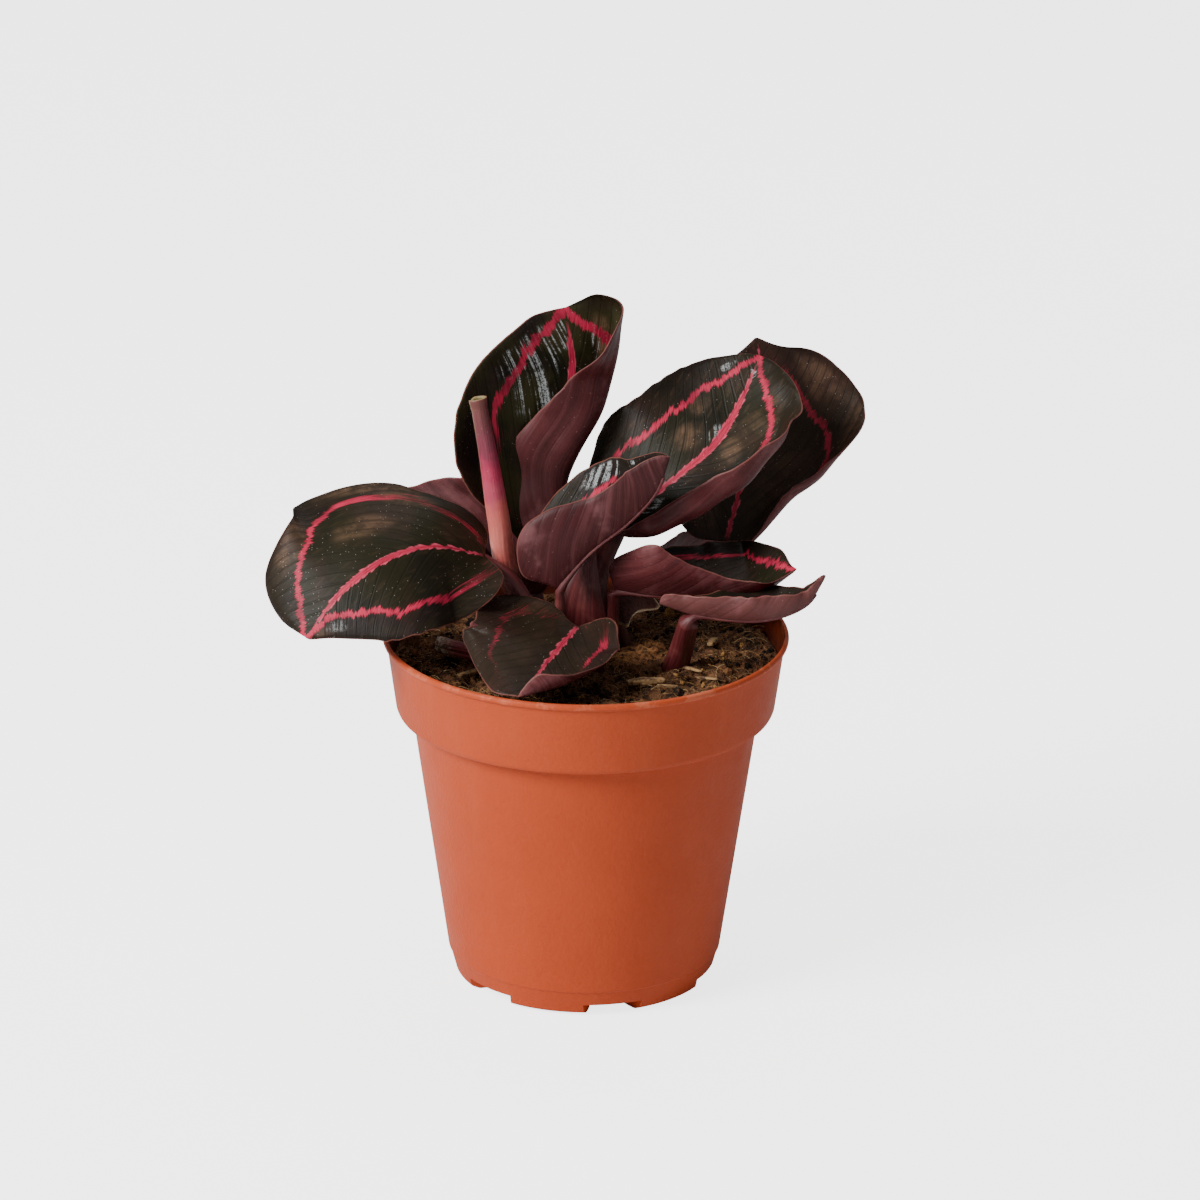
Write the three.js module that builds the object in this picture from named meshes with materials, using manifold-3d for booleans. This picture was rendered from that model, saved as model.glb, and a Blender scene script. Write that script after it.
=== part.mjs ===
// A young calathea in a moulded plastic grower's pot.
// Millimetres, +Z up. The origin is the centre of the pot's flat underside.
// Each leaf is one solid: a thin blade that is curled across its midrib, on a stalk that stands
// in a plain hole in the soil.

import * as THREE from "three";
import { mergeVertices } from "three/addons/utils/BufferGeometryUtils.js";
import Module from "manifold-3d";

const wasm = await Module();
wasm.setup();

// ---- Driving dimensions -------------------------------------------------------------------

const POT_HEIGHT = 93.3;
const RIM_RADIUS = 52.5;
const LIP_HEIGHT = 1.5;
const COLLAR_BOTTOM = 73.2;
const COLLAR_BOTTOM_RADIUS = 49;
const BODY_TOP_RADIUS = 45.1;
const PARTING_HEIGHT = 7.3;
const PARTING_RADIUS = 35.6;
const PARTING_STEP = 0.3;
const FOOT_RADIUS = 32;
const WALL = 1.3;
const LEDGE_RISE = 1;
const FLOOR = 1.4;
const SEGMENTS = 48;

const NOTCH_COUNT = 6;
const NOTCH_FIRST_ANGLE = -77;
const NOTCH_HEIGHT = 3.2;
const NOTCH_OUTER_HALF_WIDTH = 9.3;
const NOTCH_INNER_HALF_WIDTH = 4.2;
const NOTCH_INNER_RADIUS = 25;
const NOTCH_OUTER_RADIUS = 40;
const DRAIN_RADIUS = 3;

const GAP = 0.3;
const SOIL_LEVEL = 86;
const SOIL_RINGS = 7;
const SOIL_BUMP = 1.3;
const CRUMB_COUNT = 18;
const CRUMB_SEED = 7;

const BLADE_THICKNESS = 0.7;
const MARGIN_MIN_WIDTH = 0.3;
const END_ROUNDING = 8;
const SECTION_STEPS = 48;
const STALK_SIDES = 7;
const STALK_STEPS = 6;
const FURLED_STEPS = 12;
const TAIL_RADIUS = 0.4;
const TAIL_SINK = 0.2;
const TAIL_LENGTH = 0.24;
const TAIL_STEPS = 3;
const FURLED_BORE_DEPTH = 14;
const FURLED_WALL = 0.9;

const COLOURS = {
  plastic: 0xc4623a,
  soil: 0x3b2a1e,
  leaf: 0x2c2a22,
  underside: 0x5f3038,
  newLeaf: 0xa8475c,
  dryLeaf: 0x4a3424,
};

// ---- Leaves -------------------------------------------------------------------------------
// rib: the midrib from base to tip. face: where the upper side looks, at base, middle and tip.
// left and right are the two halves, seen from above with the tip ahead. width: flat width from
// base to tip. fold and curl: the section's slope in degrees at the midrib and at the margin,
// gained between the two parts of the width that bend gives, each from base to tip.
// wave: height, waves, phase.
// lobe: how far the margin runs ahead of the midrib, from base to tip.

const LEAVES = [
  {
    name: "leaf_tall",
    grid: [14, 8],
    rib: [[-13, 10, 100], [-10, 14, 118], [-7, 19, 137], [-4, 22, 157], [-6, 19, 175]],
    face: [[0.1, -1, 0.2], [0.1, -1, 0.2], [0.1, -1, 0.5]],
    left: {
      width: [2, 11, 24, 30, 25, 12],
      fold: [10, 5, 0],
      curl: [60, 25, 30],
      lobe: [-4, -6, -4, -1, 3, 2],
      wave: [0.6, 2, 0],
    },
    right: {
      width: [8, 16, 24.5, 28.5, 24.5, 25],
      curl: [195, 195, 190, 185, 175, 100],
      bend: [[0.05, 0.05, 0.1, 0.19, 0.45, 0.7], [0.6, 0.45, 0.45, 0.49, 0.7, 1]],
      lobe: [-3, 0, 1, 2, 3, 6],
      wave: [0.6, 6, 0],
    },
    stalk: [[-8, 7, 76], [-10.5, 8, 88], [-13, 10, 100]],
    stalkRadii: [2.4, 1.8],
  },
  {
    name: "leaf_right_front",
    grid: [14, 7],
    rib: [[8, 9, 119], [21, 8, 131], [32.5, 12, 140], [39.5, 19, 149.5], [44.5, 26, 160]],
    face: [[-0.4, -0.7, 0.5], [-0.3, -0.8, 0.5], [-0.2, -0.9, 0.5]],
    left: { width: [12, 24, 24, 23, 16, 10], curl: [10, 5, -10] },
    right: {
      width: [10, 20, 24, 24, 18, 9],
      fold: [10, 10, 10],
      curl: [170, 165, 140, 90, 40, 0],
      bend: [[0.5, 0.5], [0.85, 0.85]],
      wave: [0.6, 6, 0],
    },
    stalk: [[0, 6, 76], [1, 6, 92], [2.5, 7, 107], [8, 9, 119]],
    stalkRadii: [4.6, 4.4, 3.4, 1.8],
    sheath: {
      grid: [6, 3],
      rib: [[-1.8, 2.7, 90], [-1.6, 2.8, 95], [-1.2, 2.6, 100], [0, 2.6, 107], [2, 3, 115]],
      face: [[0.63, 0.76, 0], [0.63, 0.76, 0], [0.63, 0.76, 0]],
      left: { width: [5.5, 6, 5, 4, 2, 0.3], curl: [50, 50, 50], lobe: [0, 0, 0] },
      right: { width: [5.5, 6, 5, 4, 2, 0.3], curl: [50, 50, 50], lobe: [0, 0, 0] },
    },
  },
  {
    name: "leaf_right_back",
    grid: [14, 5],
    rib: [[36, 18, 111.5], [40, 26, 124.5], [44, 36, 138.5], [45, 44, 150.5], [44, 48, 157.5]],
    face: [[0.2, -0.9, 0.4], [0.2, -0.9, 0.4], [0.2, -0.9, 0.4]],
    left: { width: [14, 19, 18, 17, 9, 1], curl: [10, 5, 0] },
    right: {
      width: [6, 17, 27, 30, 19, 2],
      curl: [170, 130, 50, 20],
      bend: [[0.5, 0.5], [1, 1]],
      lobe: [-4, -4, -2, 0],
    },
    stalk: [[4, 15, 76], [6, 16, 92], [14, 16, 101], [26, 17, 106], [36, 18, 111.5]],
    stalkRadii: [2.4, 1.5],
  },
  {
    name: "leaf_left_large",
    grid: [14, 5],
    rib: [[-26, -3, 115], [-39, -10, 120], [-51, -17, 119], [-62, -22, 112], [-71, -26, 101]],
    face: [[-0.1, -0.7, 0.7], [-0.15, -0.75, 0.65], [-0.3, -0.8, 0.5]],
    left: { width: [12, 20, 21, 20, 15, 6], curl: [-10, -10, -10], lobe: [-4, -1, 0] },
    right: { width: [6, 14, 24, 28, 27, 18], curl: [-10, -25, -25], wave: [1, 3, 0] },
    stalk: [[-8, -5, 76], [-12, -6, 94], [-18, -5, 108], [-26, -3, 115]],
    stalkRadii: [2.4, 1.5],
  },
  {
    name: "leaf_left_back",
    grid: [9, 3],
    rib: [[-21, 14, 103.5], [-31.5, 20, 113.5], [-41, 26, 117], [-50, 31, 117], [-58, 36, 114.5]],
    face: [[-0.2, 0.8, 0.5], [-0.2, 0.8, 0.5], [-0.2, 0.8, 0.5]],
    left: { width: [6, 14, 14, 11, 9, 5], curl: [20, 20, 20] },
    right: { width: [4, 12, 14, 14, 11, 6], curl: [20, 20, 20] },
    stalk: [[-8, 12, 76], [-13, 13, 92], [-21, 14, 103.5]],
    stalkRadii: [1.8, 1.3],
  },
  {
    name: "leaf_centre_boat",
    grid: [12, 4],
    rib: [[-7.5, -9, 108.5], [1, -9, 118.5], [10.5, -9, 126.5], [17.5, -11, 135.5], [21, -12, 145.5]],
    face: [[-0.7, 0.2, 0.6], [-0.7, 0.2, 0.6], [-0.7, 0.2, 0.6]],
    left: { width: [10, 17, 19, 17, 12, 6], fold: [50, 50, 50], curl: [80, 80, 80] },
    right: {
      width: [14, 17, 12, 10, 9, 5],
      fold: [60, 60, 60],
      curl: [110, 100, 90],
      lobe: [-5, 0, 0],
    },
    stalk: [[-2.5, -6, 76], [-6, -8, 91], [-7.5, -9, 108.5]],
    stalkRadii: [2.2, 1.6],
  },
  {
    name: "leaf_front_low",
    grid: [12, 5],
    rib: [[-2, -14, 100], [-6, -23, 98.5], [-9.5, -31, 97], [-13, -40, 95.5], [-17, -48, 94]],
    face: [[0.1, -0.5, 0.85], [0.1, -0.5, 0.85], [0.1, -0.5, 0.85]],
    left: {
      width: [11, 16, 16, 12, 8, 5],
      curl: [0, 10, 70, 120, 110],
      bend: [[0.4, 0.4], [1, 1]],
      lobe: [-8, -2, 0],
    },
    right: { width: [3, 21, 25, 22, 20, 20], wave: [1, 3, 0], lobe: [-2, -3, 0] },
    stalk: [[3, -9, 76], [3, -10, 92], [-2, -14, 100]],
    stalkRadii: [1.5, 1.2],
  },
  {
    name: "leaf_low_right_inner",
    grid: [12, 4],
    rib: [[7, -1, 105.5], [17, -4, 105], [30.5, -5, 105], [43.5, -5, 105.5], [54, -3, 112]],
    face: [[0, -0.2, 1], [0, -0.2, 1], [0, -0.2, 1]],
    left: { width: [6, 13, 17, 20, 18, 6], curl: [60, 40, 20] },
    right: { width: [8, 17, 13, 9, 5, 3], fold: [70, 60, 40], curl: [120, 90, 50] },
    stalk: [[7.4, 4.2, 76], [7, 2, 90], [7, -1, 105.5]],
    stalkRadii: [1.8, 1.4],
  },
  {
    name: "leaf_low_right_outer",
    grid: [12, 3],
    joint: 0.2,
    rib: [[19.5, -14, 106], [29, -17, 104.5], [44, -19, 104], [55.5, -19, 108], [61, -17, 115.5]],
    face: [[0, 0.2, 1], [0, 0.2, 1], [0, 0.2, 1]],
    left: { width: [4, 7, 8, 7, 5, 3], curl: [60, 60, 40] },
    right: { width: [3, 5, 6, 5, 4, 3], fold: [40, 40, 40], curl: [90, 90, 90] },
    stalk: [[21, -3, 76], [24, -8, 90], [27, -15, 103]],
    stalkRadii: [3, 2.4],
  },
  {
    name: "leaf_back_low",
    grid: [8, 3],
    rib: [[11.5, 22.5, 96.5], [16.5, 30, 98], [21.5, 37, 99.5], [27, 43, 100], [33, 48, 98.5]],
    face: [[0.1, 0.9, 0.4], [0.1, 0.9, 0.4], [0.1, 0.9, 0.4]],
    left: { width: [3, 6, 6, 6, 6, 4], curl: [20, 20, 20] },
    right: { width: [3, 8, 8, 8, 6, 4], curl: [20, 20, 20] },
    stalk: [[1, 20, 76], [4, 22, 88], [11.5, 22.5, 96.5]],
    stalkRadii: [1.6, 1.2],
  },
  {
    name: "leaf_old",
    grid: [8, 3],
    rib: [[6.5, 11.5, 96.5], [9, 10.5, 100.5], [12.5, 9.5, 102], [15.5, 8.5, 102], [18, 7.5, 100]],
    face: [[-0.3, -0.9, 0.3], [0, -0.9, 0.3], [0.3, -0.9, 0.3]],
    left: { width: [1, 1.5, 2, 2, 1.5, 1], fold: [-20, -20, -20], curl: [-90, -90, -90] },
    right: { width: [3, 5, 7, 7, 5, 2], fold: [20, 20, 20], curl: [50, 50, 50] },
    stalk: [[13, 9, 76], [10, 10, 88], [6.5, 11.5, 96.5]],
    stalkRadii: [1.6, 1],
  },
];

const FURLED_PATH = [
  [-7.5, 1, 76],
  [-12, 1.2, 92],
  [-20, 2.6, 108],
  [-22.5, 0.8, 124],
  [-25, -1.5, 141],
  [-28, -2.5, 158],
];
const FURLED_RADII = [2.6, 2.5, 2.6, 2.6, 2.5, 2.2];
const STUB_PATH = [[-12, -10, 76], [-15, -9.5, 86], [-26, -7, 89], [-39, -4, 91.5]];
const STUB_RADII = [1.7, 1.8, 1.9, 2.1];

// ---- Curves through evenly spaced values --------------------------------------------------

function along(values, u) {
  const last = values.length - 1;
  const place = THREE.MathUtils.clamp(u, 0, 1) * last;
  const i = Math.min(Math.floor(place), last - 1);
  const t = place - i;
  const p1 = values[i];
  const p2 = values[i + 1];
  const p0 = i > 0 ? values[i - 1] : 2 * p1 - p2;
  const p3 = i < last - 1 ? values[i + 2] : 2 * p2 - p1;
  const linear = (p2 - p0) * t;
  const square = (2 * p0 - 5 * p1 + 4 * p2 - p3) * t * t;
  const cube = (3 * p1 - p0 - 3 * p2 + p3) * t * t * t;
  return 0.5 * (2 * p1 + linear + square + cube);
}

function alongPoints(points, u) {
  const axis = (k) => along(points.map((point) => point[k]), u);
  return new THREE.Vector3(axis(0), axis(1), axis(2));
}

function directionAt(points, u) {
  const step = 0.001;
  const ahead = alongPoints(points, Math.min(u + step, 1));
  return ahead.sub(alongPoints(points, Math.max(u - step, 0))).normalize();
}

// ---- Geometry helpers ---------------------------------------------------------------------

function geometryFrom(points, faces) {
  const geometry = new THREE.BufferGeometry();
  geometry.setAttribute("position", new THREE.Float32BufferAttribute(points.flatMap((p) => p.toArray()), 3));
  geometry.setIndex(faces.flat());
  return geometry;
}

function toSolid(geometry) {
  const bare = geometry.clone();
  bare.deleteAttribute("normal");
  bare.deleteAttribute("uv");
  const merged = mergeVertices(bare, 0.001);
  const mesh = new wasm.Mesh({
    numProp: 3,
    vertProperties: new Float32Array(merged.attributes.position.array),
    triVerts: new Uint32Array(merged.index.array),
  });
  return new wasm.Manifold(mesh);
}

function toMesh(name, solid, colour, roughness) {
  const mesh = solid.getMesh();
  const geometry = new THREE.BufferGeometry();
  geometry.setAttribute("position", new THREE.BufferAttribute(mesh.vertProperties, 3));
  geometry.setIndex(new THREE.BufferAttribute(mesh.triVerts, 1));
  geometry.computeVertexNormals();
  const material = new THREE.MeshStandardMaterial({ color: colour, roughness, metalness: 0 });
  const object = new THREE.Mesh(geometry, material);
  object.name = name;
  return object;
}

// A closed tube through rings of equal length; each end is closed by a fan on its centre.
function loft(rings) {
  const sides = rings[0].length;
  const points = rings.flat();
  const faces = [];
  for (let i = 0; i < rings.length - 1; i += 1) {
    for (let k = 0; k < sides; k += 1) {
      const a = i * sides + k;
      const b = i * sides + ((k + 1) % sides);
      faces.push([a, b, b + sides], [a, b + sides, a + sides]);
    }
  }
  for (const [ring, start, flip] of [[rings[0], 0, true], [rings.at(-1), (rings.length - 1) * sides, false]]) {
    const centre = ring.reduce((sum, p) => sum.add(p), new THREE.Vector3()).divideScalar(sides);
    points.push(centre);
    for (let k = 0; k < sides; k += 1) {
      const a = start + k;
      const b = start + ((k + 1) % sides);
      faces.push(flip ? [points.length - 1, b, a] : [points.length - 1, a, b]);
    }
  }
  return geometryFrom(points, faces);
}

function ringAt(centre, direction, radius) {
  const side = new THREE.Vector3(0, 1, 0).cross(direction).normalize();
  const other = direction.clone().cross(side);
  return Array.from({ length: STALK_SIDES }, (_, k) => {
    const angle = (2 * Math.PI * k) / STALK_SIDES;
    const offset = side.clone().multiplyScalar(Math.cos(angle)).addScaledVector(other, Math.sin(angle));
    return centre.clone().addScaledVector(offset, radius);
  });
}

function stalkRings(path, radii, grow, steps) {
  return Array.from({ length: steps + 1 }, (_, i) => {
    const u = i / steps;
    return ringAt(alongPoints(path, u), directionAt(path, u), along(radii, u) + grow);
  });
}

// ---- Blade --------------------------------------------------------------------------------

// Offsets of one half's section from the midrib, outward and upward, for a width of one.
function sectionAt(side, u, t) {
  const [bendStart, bendEnd] = (side.bend ?? [[0, 0], [1, 1]]).map((stations) => along(stations, u));
  const fold = THREE.MathUtils.degToRad(along(side.fold ?? [0, 0], u));
  const curl = THREE.MathUtils.degToRad(along(side.curl ?? [0, 0], u));
  const slopeAt = (s) => fold + (curl - fold) * THREE.MathUtils.clamp((s - bendStart) / (bendEnd - bendStart), 0, 1);
  let out = 0;
  let up = 0;
  for (let k = 0; k < SECTION_STEPS; k += 1) {
    const step = THREE.MathUtils.clamp(t * SECTION_STEPS - k, 0, 1) / SECTION_STEPS;
    const slope = slopeAt((k + 0.5) / SECTION_STEPS);
    out += Math.cos(slope) * step;
    up += Math.sin(slope) * step;
  }
  return { out, up, slope: slopeAt(t) };
}

function bladeRow(leaf, u, halfCells) {
  const origin = alongPoints(leaf.rib, u);
  const ahead = directionAt(leaf.rib, u);
  const face = alongPoints(leaf.face, u).projectOnPlane(ahead).normalize();
  const across = ahead.clone().cross(face);
  const ends = Math.sqrt(Math.max(1 - (2 * u - 1) ** END_ROUNDING, 0));
  const row = [];
  for (let k = -halfCells; k <= halfCells; k += 1) {
    const side = k < 0 ? leaf.left : leaf.right;
    const sign = k < 0 ? -1 : 1;
    const t = Math.abs(k) / halfCells;
    const width = Math.max(along(side.width, u), 0) * ends + MARGIN_MIN_WIDTH;
    const { out, up, slope } = sectionAt(side, u, t);
    const [height, waves, phase] = side.wave ?? [0, 1, 0];
    const wave = height * t * t * Math.sin(2 * Math.PI * (waves * u + phase)) * ends;
    const lobe = along(side.lobe ?? [-3, 0, 0], u) * t * t;
    const point = origin.clone()
      .addScaledVector(across, sign * (width * out - wave * Math.sin(slope)))
      .addScaledVector(face, width * up + wave * Math.cos(slope))
      .addScaledVector(ahead, lobe);
    const normal = face.clone().multiplyScalar(Math.cos(slope)).addScaledVector(across, -sign * Math.sin(slope));
    row.push({ point, normal });
  }
  row[halfCells].normal = face.clone();
  return row;
}

function bladeGeometry(leaf) {
  const [lengthCells, halfCells] = leaf.grid;
  const columns = 2 * halfCells + 1;
  const rows = Array.from({ length: lengthCells + 1 }, (_, i) => {
    return bladeRow(leaf, (1 - Math.cos((Math.PI * i) / lengthCells)) / 2, halfCells);
  }).flat();
  const half = BLADE_THICKNESS / 2;
  const upper = rows.map(({ point, normal }) => point.clone().addScaledVector(normal, half));
  const lower = rows.map(({ point, normal }) => point.clone().addScaledVector(normal, -half));
  const under = upper.length;
  const faces = [];
  for (let i = 0; i < lengthCells; i += 1) {
    for (let k = 0; k < columns - 1; k += 1) {
      const a = i * columns + k;
      const b = a + 1;
      const c = a + columns + 1;
      const d = a + columns;
      faces.push([a, b, c], [a, c, d]);
      faces.push([under + a, under + c, under + b], [under + a, under + d, under + c]);
    }
  }
  const rim = [];
  for (let k = 0; k < columns - 1; k += 1) rim.push(k);
  for (let i = 0; i < lengthCells; i += 1) rim.push(i * columns + columns - 1);
  for (let k = columns - 1; k > 0; k -= 1) rim.push(lengthCells * columns + k);
  for (let i = lengthCells; i > 0; i -= 1) rim.push(i * columns);
  rim.forEach((a, i) => {
    const b = rim[(i + 1) % rim.length];
    faces.push([a, under + a, under + b], [a, under + b, b]);
  });
  return geometryFrom([...upper, ...lower], faces);
}

// ---- Leaves, furled leaf and stub ---------------------------------------------------------

// The centre of a round rib that lies under the blade and just breaks its lower side.
function underRib(leaf, u, radius) {
  const ahead = directionAt(leaf.rib, u);
  const face = alongPoints(leaf.face, u).projectOnPlane(ahead).normalize();
  return alongPoints(leaf.rib, u).addScaledVector(face, -Math.max(radius - TAIL_SINK, 0));
}

function stalkPath(leaf) {
  const end = underRib(leaf, leaf.joint ?? 0, leaf.stalkRadii.at(-1));
  return [...leaf.stalk.slice(0, -1), end.toArray()];
}

// The stalk runs on under the midrib as a tapering tail, which joins it to the blade.
function stalkGeometry(leaf) {
  const rings = stalkRings(stalkPath(leaf), leaf.stalkRadii, 0, STALK_STEPS);
  for (let i = 1; i <= TAIL_STEPS; i += 1) {
    const u = (leaf.joint ?? 0) + (TAIL_LENGTH * i) / TAIL_STEPS;
    const radius = THREE.MathUtils.lerp(leaf.stalkRadii.at(-1), TAIL_RADIUS, i / TAIL_STEPS);
    rings.push(ringAt(underRib(leaf, u, radius), directionAt(leaf.rib, u), radius));
  }
  return loft(rings);
}

function leafSolid(leaf) {
  const solid = toSolid(bladeGeometry(leaf)).add(toSolid(stalkGeometry(leaf)));
  return leaf.sheath ? solid.add(toSolid(bladeGeometry(leaf.sheath))) : solid;
}

function furledSolid() {
  const outside = stalkRings(FURLED_PATH, FURLED_RADII, 0, FURLED_STEPS);
  const top = alongPoints(FURLED_PATH, 1);
  const down = directionAt(FURLED_PATH, 1).negate();
  const bore = [0, FURLED_BORE_DEPTH].map((depth) => {
    const centre = top.clone().addScaledVector(down, depth);
    return ringAt(centre, down.clone().negate(), FURLED_RADII.at(-1) - FURLED_WALL);
  });
  return toSolid(loft([...outside, ...bore]));
}

function stubSolid() {
  return toSolid(loft(stalkRings(STUB_PATH, STUB_RADII, 0, STALK_STEPS)));
}

function stalkHole(path, radii, steps) {
  const rings = stalkRings(path, radii, GAP, steps);
  const drop = directionAt(path, 0).multiplyScalar(-GAP);
  rings[0].forEach((point) => point.add(drop));
  return toSolid(loft(rings));
}

// ---- Pot ----------------------------------------------------------------------------------

function turned(profile) {
  const points = profile.map(([radius, height]) => new THREE.Vector2(radius, height));
  return new THREE.LatheGeometry(points, SEGMENTS).rotateX(Math.PI / 2);
}

const RIM_INNER_RADIUS = RIM_RADIUS - WALL;

const POT_PROFILE = [
  [0, 0],
  [FOOT_RADIUS, 0],
  [FOOT_RADIUS + 1.6, 0.8],
  [PARTING_RADIUS - PARTING_STEP, PARTING_HEIGHT],
  [PARTING_RADIUS, PARTING_HEIGHT + PARTING_STEP],
  [BODY_TOP_RADIUS, COLLAR_BOTTOM + 0.4],
  [COLLAR_BOTTOM_RADIUS - 0.3, COLLAR_BOTTOM],
  [COLLAR_BOTTOM_RADIUS, COLLAR_BOTTOM + 0.6],
  [RIM_RADIUS - 0.9, POT_HEIGHT - LIP_HEIGHT],
  [RIM_RADIUS, POT_HEIGHT - LIP_HEIGHT + 0.2],
  [RIM_RADIUS, POT_HEIGHT - 0.4],
  [RIM_RADIUS - 0.5, POT_HEIGHT],
  [0, POT_HEIGHT],
];

// The inside of the pot; grow shrinks it evenly, for the soil that fills it.
function insideProfile(shrink, top) {
  const slope = (RIM_INNER_RADIUS - COLLAR_BOTTOM_RADIUS + WALL) / (POT_HEIGHT - COLLAR_BOTTOM);
  const collarRadius = (height) => COLLAR_BOTTOM_RADIUS - WALL + slope * (height - COLLAR_BOTTOM);
  const ledge = COLLAR_BOTTOM + WALL + shrink * 1.4;
  return [
    [0, FLOOR + shrink],
    [FOOT_RADIUS - shrink, FLOOR + shrink],
    [PARTING_RADIUS - WALL - shrink, PARTING_HEIGHT],
    [BODY_TOP_RADIUS - WALL - shrink, ledge],
    [collarRadius(ledge + LEDGE_RISE) - shrink, ledge + LEDGE_RISE],
    [collarRadius(top) - shrink, top],
  ];
}

// Outline of a drain channel, seen from above, running outward along +X.
function channelSolid(grow, bottom, top) {
  const outer = NOTCH_OUTER_HALF_WIDTH + grow;
  const inner = NOTCH_INNER_HALF_WIDTH + grow;
  const shape = new THREE.Shape();
  shape.moveTo(NOTCH_OUTER_RADIUS, -outer);
  shape.quadraticCurveTo(NOTCH_INNER_RADIUS + 4, -inner, NOTCH_INNER_RADIUS, -inner);
  shape.absarc(NOTCH_INNER_RADIUS, 0, inner, 1.5 * Math.PI, 0.5 * Math.PI, true);
  shape.quadraticCurveTo(NOTCH_INNER_RADIUS + 4, inner, NOTCH_OUTER_RADIUS, outer);
  const options = { depth: top - bottom, bevelEnabled: false, curveSegments: 5 };
  return toSolid(new THREE.ExtrudeGeometry(shape, options).translate(0, 0, bottom));
}

function roundTheFoot(solid) {
  let all = null;
  for (let i = 0; i < NOTCH_COUNT; i += 1) {
    const turnedSolid = solid.rotate([0, 0, NOTCH_FIRST_ANGLE + (360 / NOTCH_COUNT) * i]);
    all = all ? all.add(turnedSolid) : turnedSolid;
  }
  return all;
}

function potSolid() {
  const outside = toSolid(turned(POT_PROFILE));
  const cavityProfile = insideProfile(0, POT_HEIGHT + 1);
  const cavity = toSolid(turned([...cavityProfile, [0, POT_HEIGHT + 1]]));
  const humps = roundTheFoot(channelSolid(WALL, -1, NOTCH_HEIGHT + WALL));
  const channels = roundTheFoot(channelSolid(0, -1, NOTCH_HEIGHT));
  const drill = new THREE.CylinderGeometry(DRAIN_RADIUS, DRAIN_RADIUS, 2 * POT_HEIGHT / 10, 12);
  const drain = toSolid(drill.rotateX(Math.PI / 2).translate(NOTCH_INNER_RADIUS, 0, 0));
  return outside.subtract(cavity.subtract(humps)).subtract(channels).subtract(roundTheFoot(drain));
}

// ---- Soil ---------------------------------------------------------------------------------

function soilHeight(x, y) {
  const broad = Math.sin(0.21 * x + 1.1) * Math.cos(0.17 * y + 0.4);
  const fine = Math.sin(0.55 * x - 0.36 * y + 2) * 0.5;
  return SOIL_LEVEL - 0.03 * y + SOIL_BUMP * (0.6 * broad + 0.4 * fine);
}

function randomFrom(seed) {
  let state = seed;
  return () => {
    state = (state * 1664525 + 1013904223) % 4294967296;
    return state / 4294967296;
  };
}

// Lumps of coir half sunk in the surface, kept off the stalks.
function crumbs(feet) {
  const random = randomFrom(CRUMB_SEED);
  const solids = [];
  while (solids.length < CRUMB_COUNT) {
    const angle = 2 * Math.PI * random();
    const radius = 44 * Math.sqrt(random());
    const size = 1.4 + 1.6 * random();
    const spin = 2 * Math.PI * random();
    const x = radius * Math.cos(angle);
    const y = radius * Math.sin(angle);
    const clear = feet.every(([footX, footY]) => Math.hypot(x - footX, y - footY) > size + 6);
    if (clear) {
      const lump = new THREE.IcosahedronGeometry(size, 0).rotateX(spin).scale(1.3, 1, 0.7).rotateZ(spin);
      solids.push(toSolid(lump.translate(x, y, soilHeight(x, y))));
    }
  }
  return solids;
}

function soilSolid(paths) {
  const bottom = insideProfile(GAP, SOIL_LEVEL);
  const edge = bottom.at(-1)[0];
  const top = Array.from({ length: SOIL_RINGS }, (_, i) => [edge * (1 - (i + 1) / SOIL_RINGS), SOIL_LEVEL]);
  const body = turned([...bottom, ...top]);
  const position = body.attributes.position;
  for (let i = 0; i < position.count; i += 1) {
    if (position.getZ(i) > SOIL_LEVEL - 1) {
      const reach = Math.hypot(position.getX(i), position.getY(i)) / edge;
      const height = soilHeight(position.getX(i), position.getY(i));
      position.setZ(i, reach > 0.99 ? SOIL_LEVEL : height);
    }
  }
  let soil = toSolid(body);
  for (const lump of crumbs(paths.map(([path]) => path[0]))) {
    soil = soil.add(lump);
  }
  for (const [path, radii, steps] of paths) {
    soil = soil.subtract(stalkHole(path, radii, steps));
  }
  return soil.subtract(roundTheFoot(channelSolid(WALL + GAP, -1, NOTCH_HEIGHT + WALL + GAP)));
}

// ---- The plant in its pot -----------------------------------------------------------------

const group = new THREE.Group();
group.add(toMesh("pot", potSolid(), COLOURS.plastic, 0.5));

const footings = LEAVES.map((leaf) => [stalkPath(leaf), leaf.stalkRadii, STALK_STEPS]);
footings.push([FURLED_PATH, FURLED_RADII, FURLED_STEPS], [STUB_PATH, STUB_RADII, STALK_STEPS]);
group.add(toMesh("soil", soilSolid(footings), COLOURS.soil, 1));

for (const leaf of LEAVES) {
  const colour = leaf.name === "leaf_old" ? COLOURS.dryLeaf : COLOURS.leaf;
  group.add(toMesh(leaf.name, leafSolid(leaf), colour, 0.45));
}
group.add(toMesh("leaf_furled", furledSolid(), COLOURS.newLeaf, 0.45));
group.add(toMesh("stub_cut", stubSolid(), COLOURS.underside, 0.6));

export default group;
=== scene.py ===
"""A potted calathea: dark leaves with a rose ring, in a terracotta-coloured grower's pot.

Lengths in the tables are millimetres in the object's own frame; meshes are made in metres.
"""
import math

import bmesh
import bpy
import numpy as np
from mathutils import Matrix, Vector


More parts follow.
